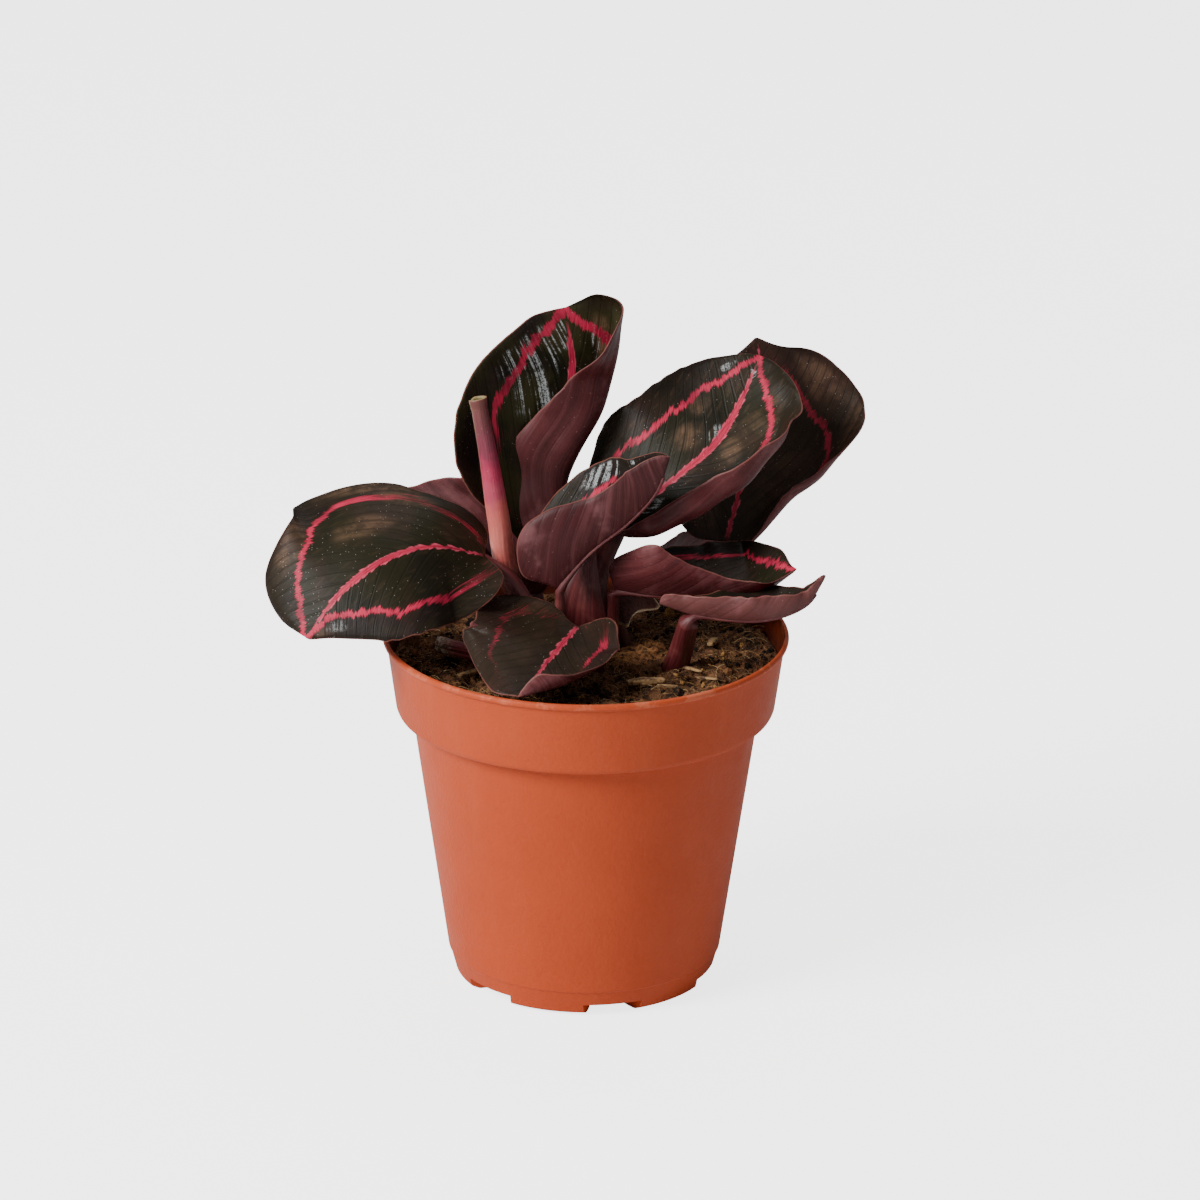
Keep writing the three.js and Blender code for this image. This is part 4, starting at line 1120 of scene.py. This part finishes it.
def pot_material(settings):
    """Injection-moulded terracotta-coloured plastic with a soft sheen, faint orange peel and dusty
    scuffs; a painted highlight along the lip, and painted shade with some soil dust on the inner
    wall.
    """
    material, n, objects = new_material("pot_plastic")
    x, y, z = n.split(objects)
    tone = n.tone(objects, 22.0, .3, settings.shade, settings.colour)["Color"]
    flow = n.noise(n.vector(n.times(x, 120.0), n.times(y, 120.0), n.times(z, 14.0)), 1.0)
    colour = n.tint(tone, "e08a62", n.ramp(flow, .5, .8), .05)
    colour = n.dust(colour, "8a4a2c", objects, 700.0, .1, .3)
    # painted shade with some soil dust: the inner wall above the soil is darkened, and darker still
    # towards the soil
    away = n.add("ShaderNodeVectorMath", {0: n.vector(x, y)}, operation="LENGTH").outputs["Value"]
    wall = n.times_plus(z, COLLAR_SLOPE, .04905 - COLLAR_SLOPE * .0742 - .0003)
    inside = n.times(n.math("LESS_THAN", away, wall), n.math("GREATER_THAN", z, .08))
    inner_shade_and_dust = n.ramp(n.noise(objects, 240.0, 4.0, .65), .3, .7, .4, .8)
    colour = n.tint(colour, "572718", inside, inner_shade_and_dust)
    colour = n.tint(colour, "2e1610", n.times(inside, n.ramp(z, .0915, .0865)), .7)
    # painted highlight: lighter patches along the top of the lip
    lip = n.times(n.ramp(z, .0914, .0922), n.ramp(n.noise(objects, 130.0, 4.0, .7), .5, .6))
    colour = n.tint(colour, "e88a68", lip, .3)
    peel = n.noise(objects, 900.0, 3.0, .6)
    scuff = n.noise(objects, 60.0, 4.0, .6)
    return finish(material, colour, n.even(scuff, .42, .55), (peel, .5, .0003), .2)


def build_pot(settings):
    material = pot_material(settings)
    tree = turning_tree()
    pot = turned_object("pot_fine", OUTSIDE, settings.segments, material, tree)
    cavity = turned_object("pot_cavity", CAVITY, settings.segments, material, tree)
    cut(cavity, channel_object("humps", WALL, NOTCH_HEIGHT + WALL))
    cut(pot, cavity)
    cut(pot, channel_object("channels", 0, NOTCH_HEIGHT))
    cut(pot, drain_object())
    finish_cut(pot, material, POT_EDGE_ANGLE)
    finish_piece(pot, "pot_plastic", "pot")


# ---- Soil ------------------------------------------------------------------------------------

SOIL_LEVEL = 86
SOIL_EDGE = 49.6
SOIL_FLOOR = 1.7
SOIL_GAP = .3
SCATTER_REACH = 48.4
STALK_GAP = 1.5
HOLE_GAP = .28
HOLE_DEPTH = .4
POT_EDGE_ANGLE = 32
SOIL_EDGE_ANGLE = 50


def value_noise(x, y, seed):
    """Seeded noise from -1 to 1 on a unit lattice."""
    table = np.random.default_rng(seed).uniform(-1, 1, (64, 64))
    i = np.floor(x).astype(int)
    j = np.floor(y).astype(int)
    fx = x - i
    fy = y - j
    fx = fx * fx * (3 - 2 * fx)
    fy = fy * fy * (3 - 2 * fy)
    a, b = table[i % 64, j % 64], table[(i + 1) % 64, j % 64]
    c, d = table[i % 64, (j + 1) % 64], table[(i + 1) % 64, (j + 1) % 64]
    return a * (1 - fx) * (1 - fy) + b * fx * (1 - fy) + c * (1 - fx) * fy + d * fx * fy


def soil_height(x, y):
    broad = np.sin(.21 * x + 1.1) * np.cos(.17 * y + .4)
    fine = np.sin(.55 * x - .36 * y + 2) * .5
    height = SOIL_LEVEL - .03 * y + 1.3 * (.6 * broad + .4 * fine)
    lumps = 1.3 * value_noise(x / 5.6, y / 5.6, 3) + .7 * value_noise(x / 2.2, y / 2.2, 4)
    grains = .4 * value_noise(x / 1.0, y / 1.0, 5) + .22 * value_noise(x / .5, y / .5, 6)
    mound = 1.6 * np.exp(-((x - 14) ** 2 + (y - 2) ** 2) / 60)
    return height + lumps + grains + mound


def stalk_paths():
    """Name, path and radii of every stalk."""
    return [*((leaf["name"], leaf["stalk"], leaf["radii"]) for leaf in LEAVES),
            ("leaf_furled", FURLED_PATH, FURLED_RADII), ("stub_cut", STUB_PATH, STUB_RADII)]


def stalk_feet():
    """Centres and radii of every stalk where it leaves the soil."""
    found = []
    for _, path, radii in stalk_paths():
        u = np.linspace(0, 1, 200)
        points = along(path, u)
        k = int(np.argmax(points[:, 2] > SOIL_LEVEL))
        found.append((points[k, 0], points[k, 1], float(along(radii, u[k])[0])))
    return found


def disc(reach, sides):
    """Places on rings round the middle."""
    angle = 2 * np.pi * np.arange(sides) / sides
    return reach[:, None] * np.cos(angle), reach[:, None] * np.sin(angle)


def soil_arrays(rings=130, sides=256):
    """The root ball: a rough top inside the rim and plain sides down to the pot's floor."""
    reach = SOIL_EDGE * np.linspace(0, 1, rings + 1)[1:]
    x, y = disc(reach, sides)
    edge = smooth_step(SOIL_EDGE - .2, SOIL_EDGE - 3, reach)[:, None]
    z = SOIL_LEVEL + (soil_height(x, y) - SOIL_LEVEL) * (.35 + .65 * edge)
    below = np.array([(49.25, 84.0), (collar_radius(76.8) - SOIL_GAP, 76.8), (43.5, 75.8),
                      (34.0, 7.3), (31.7, SOIL_FLOOR)])
    low_x, low_y = disc(below[:, 0], sides)
    low = np.stack([low_x, low_y, np.repeat(below[:, 1:], sides, 1)], -1)
    vertices = np.concatenate([[[0, 0, soil_height(0., 0.)]],
                               np.stack([x, y, z], -1).reshape(-1, 3), low.reshape(-1, 3),
                               [[0, 0, SOIL_FLOOR]]])
    rows = rings + len(below)
    last = 1 + (rows - 1) * sides
    faces = [(0, 1 + k, 1 + (k + 1) % sides) for k in range(sides)]
    faces += ring_faces(rows, sides, 1, inward=True)
    faces += [(len(vertices) - 1, last + (k + 1) % sides, last + k) for k in range(sides)]
    return vertices, faces


def golden_patch(n, objects):
    """Mask of the drier, golden coir right of the middle."""
    away = n.add("ShaderNodeVectorMath", {0: objects, 1: (.015, .002, .088)}, operation="DISTANCE")
    edge = n.times_plus(n.centred(n.noise(objects, 260.0, 4.0)), .02, away.outputs["Value"])
    return n.ramp(edge, .013, .004)


def soil_material(name, settings, crumbs=False):
    """Damp peat and coir: dark crumbs flecked with lighter fibre."""
    material, n, objects = new_material(name)
    colour = n.tone(objects, 300.0, .16, settings.dark, settings.light)["Color"]
    if crumbs:
        share = n.attribute("tone", "Fac")
        colour = n.tint(colour, "7d5230", n.ramp(share, .5, 1.0))
        colour = n.tint(colour, "a87b44", n.math("GREATER_THAN", share, .93))
        colour = n.tint(colour, "1a0f08", n.math("LESS_THAN", share, .3))
    golden = n.times(golden_patch(n, objects), n.ramp(n.noise(objects, 700.0), .4, .6))
    colour = n.tint(colour, "b0764a", golden, .8)
    fleck = n.noise(objects, 1300.0, 3.0, .7)
    colour = n.tint(colour, "a87444", n.ramp(fleck, .56, .72), .6)
    return finish(material, colour, n.even(fleck, .75, .95), (fleck, 1.0, .0008), .25)


def fibre_material():
    """Coir and straw fibres, from dark brown to pale straw."""
    material, n, objects = new_material("coir_fibre")
    share = n.attribute("tone", "Fac")
    streak = n.noise(objects, 900.0, 2.0)
    colour = n.mix(n.ramp(share, .1, .7), rgb("5a3820"), rgb("b0824f"))
    colour = n.tint(colour, "dcbf88", n.ramp(share, .85, .98))
    colour = n.tint(colour, "c88a44", golden_patch(n, objects), .6)
    colour = n.tint(colour, "2a1a0e", n.ramp(streak, .45, .7), .3)
    return finish(material, colour, n.even(streak, .6, .8))


def bark_material():
    """Pale, grainy bark and straw."""
    material, n, objects = new_material("bark_chip")
    grain = n.noise(objects, 700.0, 4.0, .7)
    colour = n.mix(n.ramp(grain, .35, .6), rgb("4a2e1a"), rgb("b08a5c"))
    return finish(material, colour, n.even(grain, .7, .9), (grain, .9, .0005))


def scatter_tree(name, fibres):
    """Geometry Nodes: spreads crumbs or fibres over the soil's upper face."""
    tree, n, inp, out = geometry_group(name, [
        ("Density", FLOAT, 4e5), ("Smallest", FLOAT, .3), ("Largest", FLOAT, 1.2),
        ("Seed", INT, SEED)])
    room = n.add("GeometryNodeInputNamedAttribute", {"Name": "room"}, data_type="FLOAT").outputs[0]
    spread = n.add("GeometryNodeDistributePointsOnFaces",
                   {"Mesh": inp["Geometry"], "Density": n.times(inp["Density"], room),
                    "Seed": inp["Seed"]})
    if fibres:
        bend = n.add("GeometryNodeCurveQuadraticBezier",
                     {"Resolution": 6, "Start": (-.0028, 0, 0), "Middle": (.0006, .003, .0016),
                      "End": (.0028, 0, .0002)}).outputs[0]
        ring = n.add("GeometryNodeCurvePrimitiveCircle", {"Resolution": 3, "Radius": .00008})
        shape = n.add("GeometryNodeCurveToMesh", {"Curve": bend, "Profile Curve": ring.outputs[0],
                                                  "Fill Caps": True}).outputs[0]
        low, high = (-.5, -.5, 0), (.5, .5, 6.28)
    else:
        shape = n.add("GeometryNodeMeshIcoSphere", {"Radius": .001, "Subdivisions": 1}).outputs[0]
        low, high = (0, 0, 0), (6.28, 6.28, 6.28)

    def random_vector(low, high, seed):
        return n.add("FunctionNodeRandomValue", {"Min": low, "Max": high, "Seed": seed},
                     data_type="FLOAT_VECTOR").outputs[0]

    def random_share(seed):
        return n.add("FunctionNodeRandomValue", {"Seed": seed}, data_type="FLOAT").outputs[1]

    span = n.math("SUBTRACT", inp["Largest"], inp["Smallest"])
    scale = n.times_plus(n.math("POWER", random_share(5), 2.5), span, inp["Smallest"])
    uneven = random_vector((.7, .7, .5), (1.3, 1.1, 1.0), 7)
    stretch = n.add("ShaderNodeVectorMath", {0: uneven, "Scale": scale}, operation="SCALE")
    placed = n.add("GeometryNodeInstanceOnPoints",
                   {"Points": spread.outputs["Points"], "Instance": shape,
                    "Rotation": random_vector(low, high, 3), "Scale": stretch.outputs[0]})
    stored = n.add("GeometryNodeStoreNamedAttribute",
                   {"Geometry": placed.outputs[0], "Name": "tone", "Value": random_share(9)},
                   data_type="FLOAT", domain="INSTANCE")
    n.real(stored.outputs[0], inp["Material"], out)
    return tree


def scatter(name, tree, material, density, smallest, largest, seed):
    """Crumbs or fibres on the soil as one piece, kept off the stalks and the pot's wall."""
    x, y = disc(SCATTER_REACH * np.linspace(0, 1, 60)[1:], 120)
    points = np.stack([x, y, soil_height(x, y)], -1).reshape(-1, 3)
    obj = make_object(name, points, ring_faces(len(x), 120, inward=True))
    room = np.ones(len(points))
    for foot_x, foot_y, radius in stalk_feet():
        away = np.hypot(points[:, 0] - foot_x, points[:, 1] - foot_y)
        room[away < radius + STALK_GAP + largest] = 0
    layer = obj.data.attributes.new("room", "FLOAT", "POINT")
    layer.data.foreach_set("value", room.astype(np.float32))
    run_group(obj, tree, {"Density": density, "Smallest": smallest, "Largest": largest,
                          "Seed": seed, "Material": material})
    finish_piece(obj, "soil")


BARK_CHIPS = [(15.5, -24.5, 5.2, 1.3, .8, 12), (27, -13, 4.2, .5, .35, -48),
              (31, -18, 3.4, .45, .3, -30), (-30, -14, 3.6, 1.0, .7, 40),
              (33, 10, 3.2, 1.1, .7, 75), (21, -28, 2.8, .5, .4, 8)]


def bark_chips(rows=15, sides=20):
    """A few flat chips of bark and straw on the soil, as one piece."""
    theta = np.linspace(0, np.pi, rows)
    phi = 2 * np.pi * np.arange(sides) / sides
    vertices, faces = [], []
    for k, (x, y, long, wide, high, turn) in enumerate(BARK_CHIPS):
        a = np.cos(theta)[:, None] * np.ones(sides)[None]
        b = np.sin(theta)[:, None] ** .35 * np.cos(phi)[None]
        c = np.sin(theta)[:, None] ** .35 * np.sin(phi)[None]
        box = np.maximum(np.abs(b), np.abs(c)) + 1e-6
        round_off = 1 / (.35 + .65 * box / np.hypot(b, c).clip(1e-6))
        rough = 1 + .16 * smooth_noise(9 * a + 3 * b, 7 * c + 2 * a, 40 + k)
        px, py, pz = long * a, wide * b * round_off * rough, high * c * round_off * rough
        angle = math.radians(turn)
        wx = x + px * math.cos(angle) - py * math.sin(angle)
        wy = y + px * math.sin(angle) + py * math.cos(angle)
        ground = float(soil_height(np.array(x), np.array(y))) + .35 * high + .9
        faces += ring_faces(rows, sides, len(vertices))
        tilted = ground + pz + .12 * px * math.sin(k)
        vertices += list(np.stack([wx, wy, tilted], -1).reshape(-1, 3))
    obj = make_object("soil_bark", vertices, faces, [bark_material()])
    modifier = obj.modifiers.new("Weld", "WELD")
    modifier.merge_threshold = 1e-6
    apply_modifiers(obj)
    face_outward(obj)
    finish_piece(obj, "soil")


def stalk_holes():
    """Plain holes round the stalks, as one cutter each."""
    cutters = []
    for name, path, radii in stalk_paths():
        u = np.linspace(0, .75, 24)
        centres = along(path, u)
        heading = direction(path, u)
        centres[0] -= heading[0] * HOLE_DEPTH
        vertices, faces, _ = tube_arrays(centres, heading, along(radii, u) + HOLE_GAP)
        cutter = make_object("hole_" + name, vertices, faces)
        face_outward(cutter)
        cutters.append(cutter)
    return cutters


def build_soil(settings):
    material = soil_material("soil_peat", settings)
    soil = make_object("soil_fine", *soil_arrays(), [material])
    face_outward(soil)
    for cutter in stalk_holes():
        cut(soil, cutter)
    gap = WALL + SOIL_GAP
    cut(soil, channel_object("soil_channels", gap, NOTCH_HEIGHT + gap))
    finish_cut(soil, material, SOIL_EDGE_ANGLE)
    finish_piece(soil, "soil", "soil")
    crumb = soil_material("soil_crumb", settings, crumbs=True)
    tree = scatter_tree("Soil Crumbs", False)
    scatter("soil_crumbs", tree, crumb, settings.crumbs * 1e3, .2, .9, SEED)
    scatter("soil_clods", tree, crumb, settings.crumbs * 60, .9, 2.6, SEED + 4)
    tree = scatter_tree("Soil Fibres", True)
    scatter("soil_fibres", tree, fibre_material(), settings.fibres * 1e3, .3, 1.1, SEED + 8)
    bark_chips()


# ---- Stage -----------------------------------------------------------------------------------

STAGE_MIDDLE = (0, 0, .1)
FLOOR_HALF = 3000
CAMERA_TILT = math.radians(20.594)
CAMERA_ROLL = math.radians(.368)
CAMERA_DISTANCE = 1.8
CAMERA_TARGET = Vector((.003587, 0, .102074))
SENSOR_WIDTH = 36
FOCAL_PIXELS = 6989
PHOTO_PIXELS = 1200


def add_area_light(name, place, size, watts):
    light = bpy.data.lights.new(name, "AREA")
    light.shape = "DISK"
    light.size = size
    light.energy = watts
    obj = bpy.data.objects.new(name, light)
    bpy.context.scene.collection.objects.link(obj)
    obj.location = place
    view = Vector(STAGE_MIDDLE) - Vector(place)
    obj.rotation_euler = view.to_track_quat("-Z", "Y").to_euler()


def add_camera():
    data = bpy.data.cameras.new("Camera")
    data.lens = SENSOR_WIDTH * FOCAL_PIXELS / PHOTO_PIXELS
    data.sensor_width = SENSOR_WIDTH
    data.clip_start = .05
    camera = bpy.data.objects.new("Camera", data)
    back = Vector((0, -CAMERA_DISTANCE * math.cos(CAMERA_TILT),
                   CAMERA_DISTANCE * math.sin(CAMERA_TILT)))
    turn = (Matrix.Rotation(math.radians(90) - CAMERA_TILT, 4, "X")
            @ Matrix.Rotation(CAMERA_ROLL, 4, "Z"))
    camera.matrix_world = Matrix.Translation(CAMERA_TARGET + back) @ turn
    bpy.context.scene.collection.objects.link(camera)
    bpy.context.scene.camera = camera


def build_stage(settings):
    material, n, objects = new_material("floor_paper")
    grain = n.noise(objects, 900.0, 2.0)
    finish(material, n.mix(grain, (.86, .86, .86, 1), (.9, .9, .9, 1)), n.even(grain, .8, .9))
    glow = n.tree.nodes["Principled BSDF"].inputs
    seen = n.add("ShaderNodeLightPath").outputs["Is Camera Ray"]
    n.put(glow["Emission Color"], n.mix(seen, (0, 0, 0, 1), (1, 1, 1, 1)))
    n.put(glow["Emission Strength"], settings.floor_glow)
    corners = [(x * FLOOR_HALF, y * FLOOR_HALF, -.1)
               for x, y in ((-1, -1), (1, -1), (1, 1), (-1, 1))]
    floor = make_object("floor", corners, [(0, 1, 2, 3)], [material], smooth=False)
    world = bpy.data.worlds.new("Studio")
    world.use_nodes = True
    background = world.node_tree.nodes["Background"].inputs
    background[0].default_value = (1, 1, 1, 1)
    background[1].default_value = settings.ambient
    bpy.context.scene.world = world
    add_area_light("Key", (-1.2, -.78, 1.05), .8, settings.key)
    add_area_light("Fill", (1.1, -.9, .55), 1.2, settings.fill)
    add_area_light("Top", (.1, .55, 1.4), 1.0, settings.top)
    add_camera()


# ---- Settings, operators and panel -----------------------------------------------------------

def colour_property(name, description, text):
    return bpy.props.FloatVectorProperty(name=name, description=description, default=rgb(text),
                                         subtype="COLOR", size=4, min=0, max=1)


def number_property(name, description, default, **limits):
    return bpy.props.FloatProperty(name=name, description=description, default=default, min=0,
                                   **limits)


class CalatheaPotSettings(bpy.types.PropertyGroup):
    """Sizes and colours of the pot."""
    segments: bpy.props.IntProperty(name="Segments", description="Faces round the pot", default=192,
                                    min=48, max=512)
    colour: colour_property("Colour", "Lit colour of the plastic", "c24e28")
    shade: colour_property("Shade", "Darker patches of the plastic", "b64722")


class CalatheaLeafSettings(bpy.types.PropertyGroup):
    """Colours of the leaves."""
    outer_colour: colour_property("Outside the ring", "Blade between ring and margin", "1d1411")
    inner_colour: colour_property("Inside the ring", "Blade between midrib and ring", "1a170d")
    ring_colour: colour_property("Ring", "Rose ring where it is brightest", "c62848")
    ring_dark: colour_property("Ring shade", "Rose ring where it is dull", "8a1a30")
    margin_colour: colour_property("Margin", "Thin line round the blade", "8a5246")
    under_colour: colour_property("Underside", "Lighter parts of the underside", "602a2c")
    under_dark: colour_property("Underside shade", "Darker parts of the underside", "3e1719")


class CalatheaSoilSettings(bpy.types.PropertyGroup):
    """Colours and numbers of crumbs and fibres."""
    dark: colour_property("Dark", "Damp peat", "28170e")
    light: colour_property("Light", "Dry peat", "805638")
    crumbs: number_property("Crumbs", "Crumbs in thousands a square metre", 520, max=2000)
    fibres: number_property("Fibres", "Fibres in thousands a square metre", 620, max=1000)


class CalatheaStageSettings(bpy.types.PropertyGroup):
    """Studio lights."""
    key: number_property("Key", "Large light from the left front", 42, unit="POWER")
    fill: number_property("Fill", "Light from the right front", .8, unit="POWER")
    top: number_property("Top", "Light from above and behind", 5, unit="POWER")
    floor_glow: number_property("Floor glow", "Keeps the floor pale", 3.0)
    ambient: number_property("Ambient", "Strength of the white surround", .2)


class CALATHEA_OT_pot(bpy.types.Operator):
    """Build the turned pot with its drain channels"""
    bl_idname = "calathea.pot"
    bl_label = "Pot"

    def execute(self, context):
        build_pot(context.scene.calathea_pot)
        return {"FINISHED"}


class CALATHEA_OT_soil(bpy.types.Operator):
    """Build the soil with its crumbs and fibres"""
    bl_idname = "calathea.soil"
    bl_label = "Soil"

    def execute(self, context):
        build_soil(context.scene.calathea_soil)
        return {"FINISHED"}


class CALATHEA_OT_leaves(bpy.types.Operator):
    """Build every open leaf with its stalk"""
    bl_idname = "calathea.leaves"
    bl_label = "Leaves"

    def execute(self, context):
        settings = context.scene.calathea_leaves
        under = {"plain": leaf_under_material(settings, "leaf_underside"),
                 "faded": leaf_under_material(settings, "leaf_underside_faded", "704440", .55),
                 "shaded": leaf_under_material(settings, "leaf_underside_shaded", "260c0f", .3)}
        stalk = stalk_material("stalk_skin", "3c1214", "6e2c2e", "4a1e16")
        stalk_material("sheath_skin", "431418", "7a3434", "431418")
        dry = dry_leaf_material()
        for k, leaf in enumerate(LEAVES):
            materials = [dry] * 3
            if not leaf.get("dry"):
                below = under[leaf.get("under", "plain")]
                materials = [leaf_upper_material(leaf, settings), below, stalk]
            leaf_piece(leaf, SEED + 10 * k, materials)
        return {"FINISHED"}


def add_rolled(name, arrays, materials, slot, node):
    """The furled leaf or the stub, whose marks run along and round it."""
    vertices, faces, *kinds, marks = arrays
    obj = make_object(name, vertices, faces, materials, *kinds)
    add_vectors(obj.data, "stalk_place", marks)
    add_uv(obj.data, marks[:, [1, 0]])
    finish_piece(obj, slot, node)


class CALATHEA_OT_furled(bpy.types.Operator):
    """Build the new leaf that is still rolled up"""
    bl_idname = "calathea.furled"
    bl_label = "Furled leaf"

    def execute(self, context):
        materials = [furled_material(False), furled_material(True)]
        add_rolled("leaf_furled_fine", furled_arrays(), materials, "leaf_new", "leaf_furled")
        return {"FINISHED"}


class CALATHEA_OT_stub(bpy.types.Operator):
    """Build the cut stalk with its torn end"""
    bl_idname = "calathea.stub"
    bl_label = "Cut stalk"

    def execute(self, context):
        add_rolled("stub_fine", stub_arrays(), [stub_material()], "stalk", "stub_cut")
        return {"FINISHED"}


class CALATHEA_OT_stage(bpy.types.Operator):
    """Add the pale floor, the soft lights and the camera"""
    bl_idname = "calathea.stage"
    bl_label = "Stage"

    def execute(self, context):
        build_stage(context.scene.calathea_stage)
        return {"FINISHED"}


PIECE_OPERATORS = (CALATHEA_OT_pot, CALATHEA_OT_soil, CALATHEA_OT_leaves, CALATHEA_OT_furled,
                   CALATHEA_OT_stub, CALATHEA_OT_stage)


class CALATHEA_PT_panel(bpy.types.Panel):
    """Lists the pieces of the potted calathea."""
    bl_idname = "CALATHEA_PT_panel"
    bl_label = "Potted Calathea"
    bl_space_type = "VIEW_3D"
    bl_region_type = "UI"
    bl_category = "Calathea"

    def draw(self, context):
        for operator in PIECE_OPERATORS:
            self.layout.operator(operator.bl_idname)


GROUPS = {"calathea_pot": CalatheaPotSettings, "calathea_leaves": CalatheaLeafSettings,
          "calathea_soil": CalatheaSoilSettings, "calathea_stage": CalatheaStageSettings}


def register():
    for name, group in GROUPS.items():
        bpy.utils.register_class(group)
        setattr(bpy.types.Scene, name, bpy.props.PointerProperty(type=group))
    for operator in PIECE_OPERATORS:
        bpy.utils.register_class(operator)
    bpy.utils.register_class(CALATHEA_PT_panel)


def unregister():
    bpy.utils.unregister_class(CALATHEA_PT_panel)
    for operator in reversed(PIECE_OPERATORS):
        bpy.utils.unregister_class(operator)
    for name, group in GROUPS.items():
        delattr(bpy.types.Scene, name)
        bpy.utils.unregister_class(group)


def main():
    register()
    make_shared_groups()
    bpy.ops.calathea.pot()
    bpy.ops.calathea.soil()
    bpy.ops.calathea.leaves()
    bpy.ops.calathea.furled()
    bpy.ops.calathea.stub()
    bpy.ops.calathea.stage()


if __name__ == "__main__":
    main()
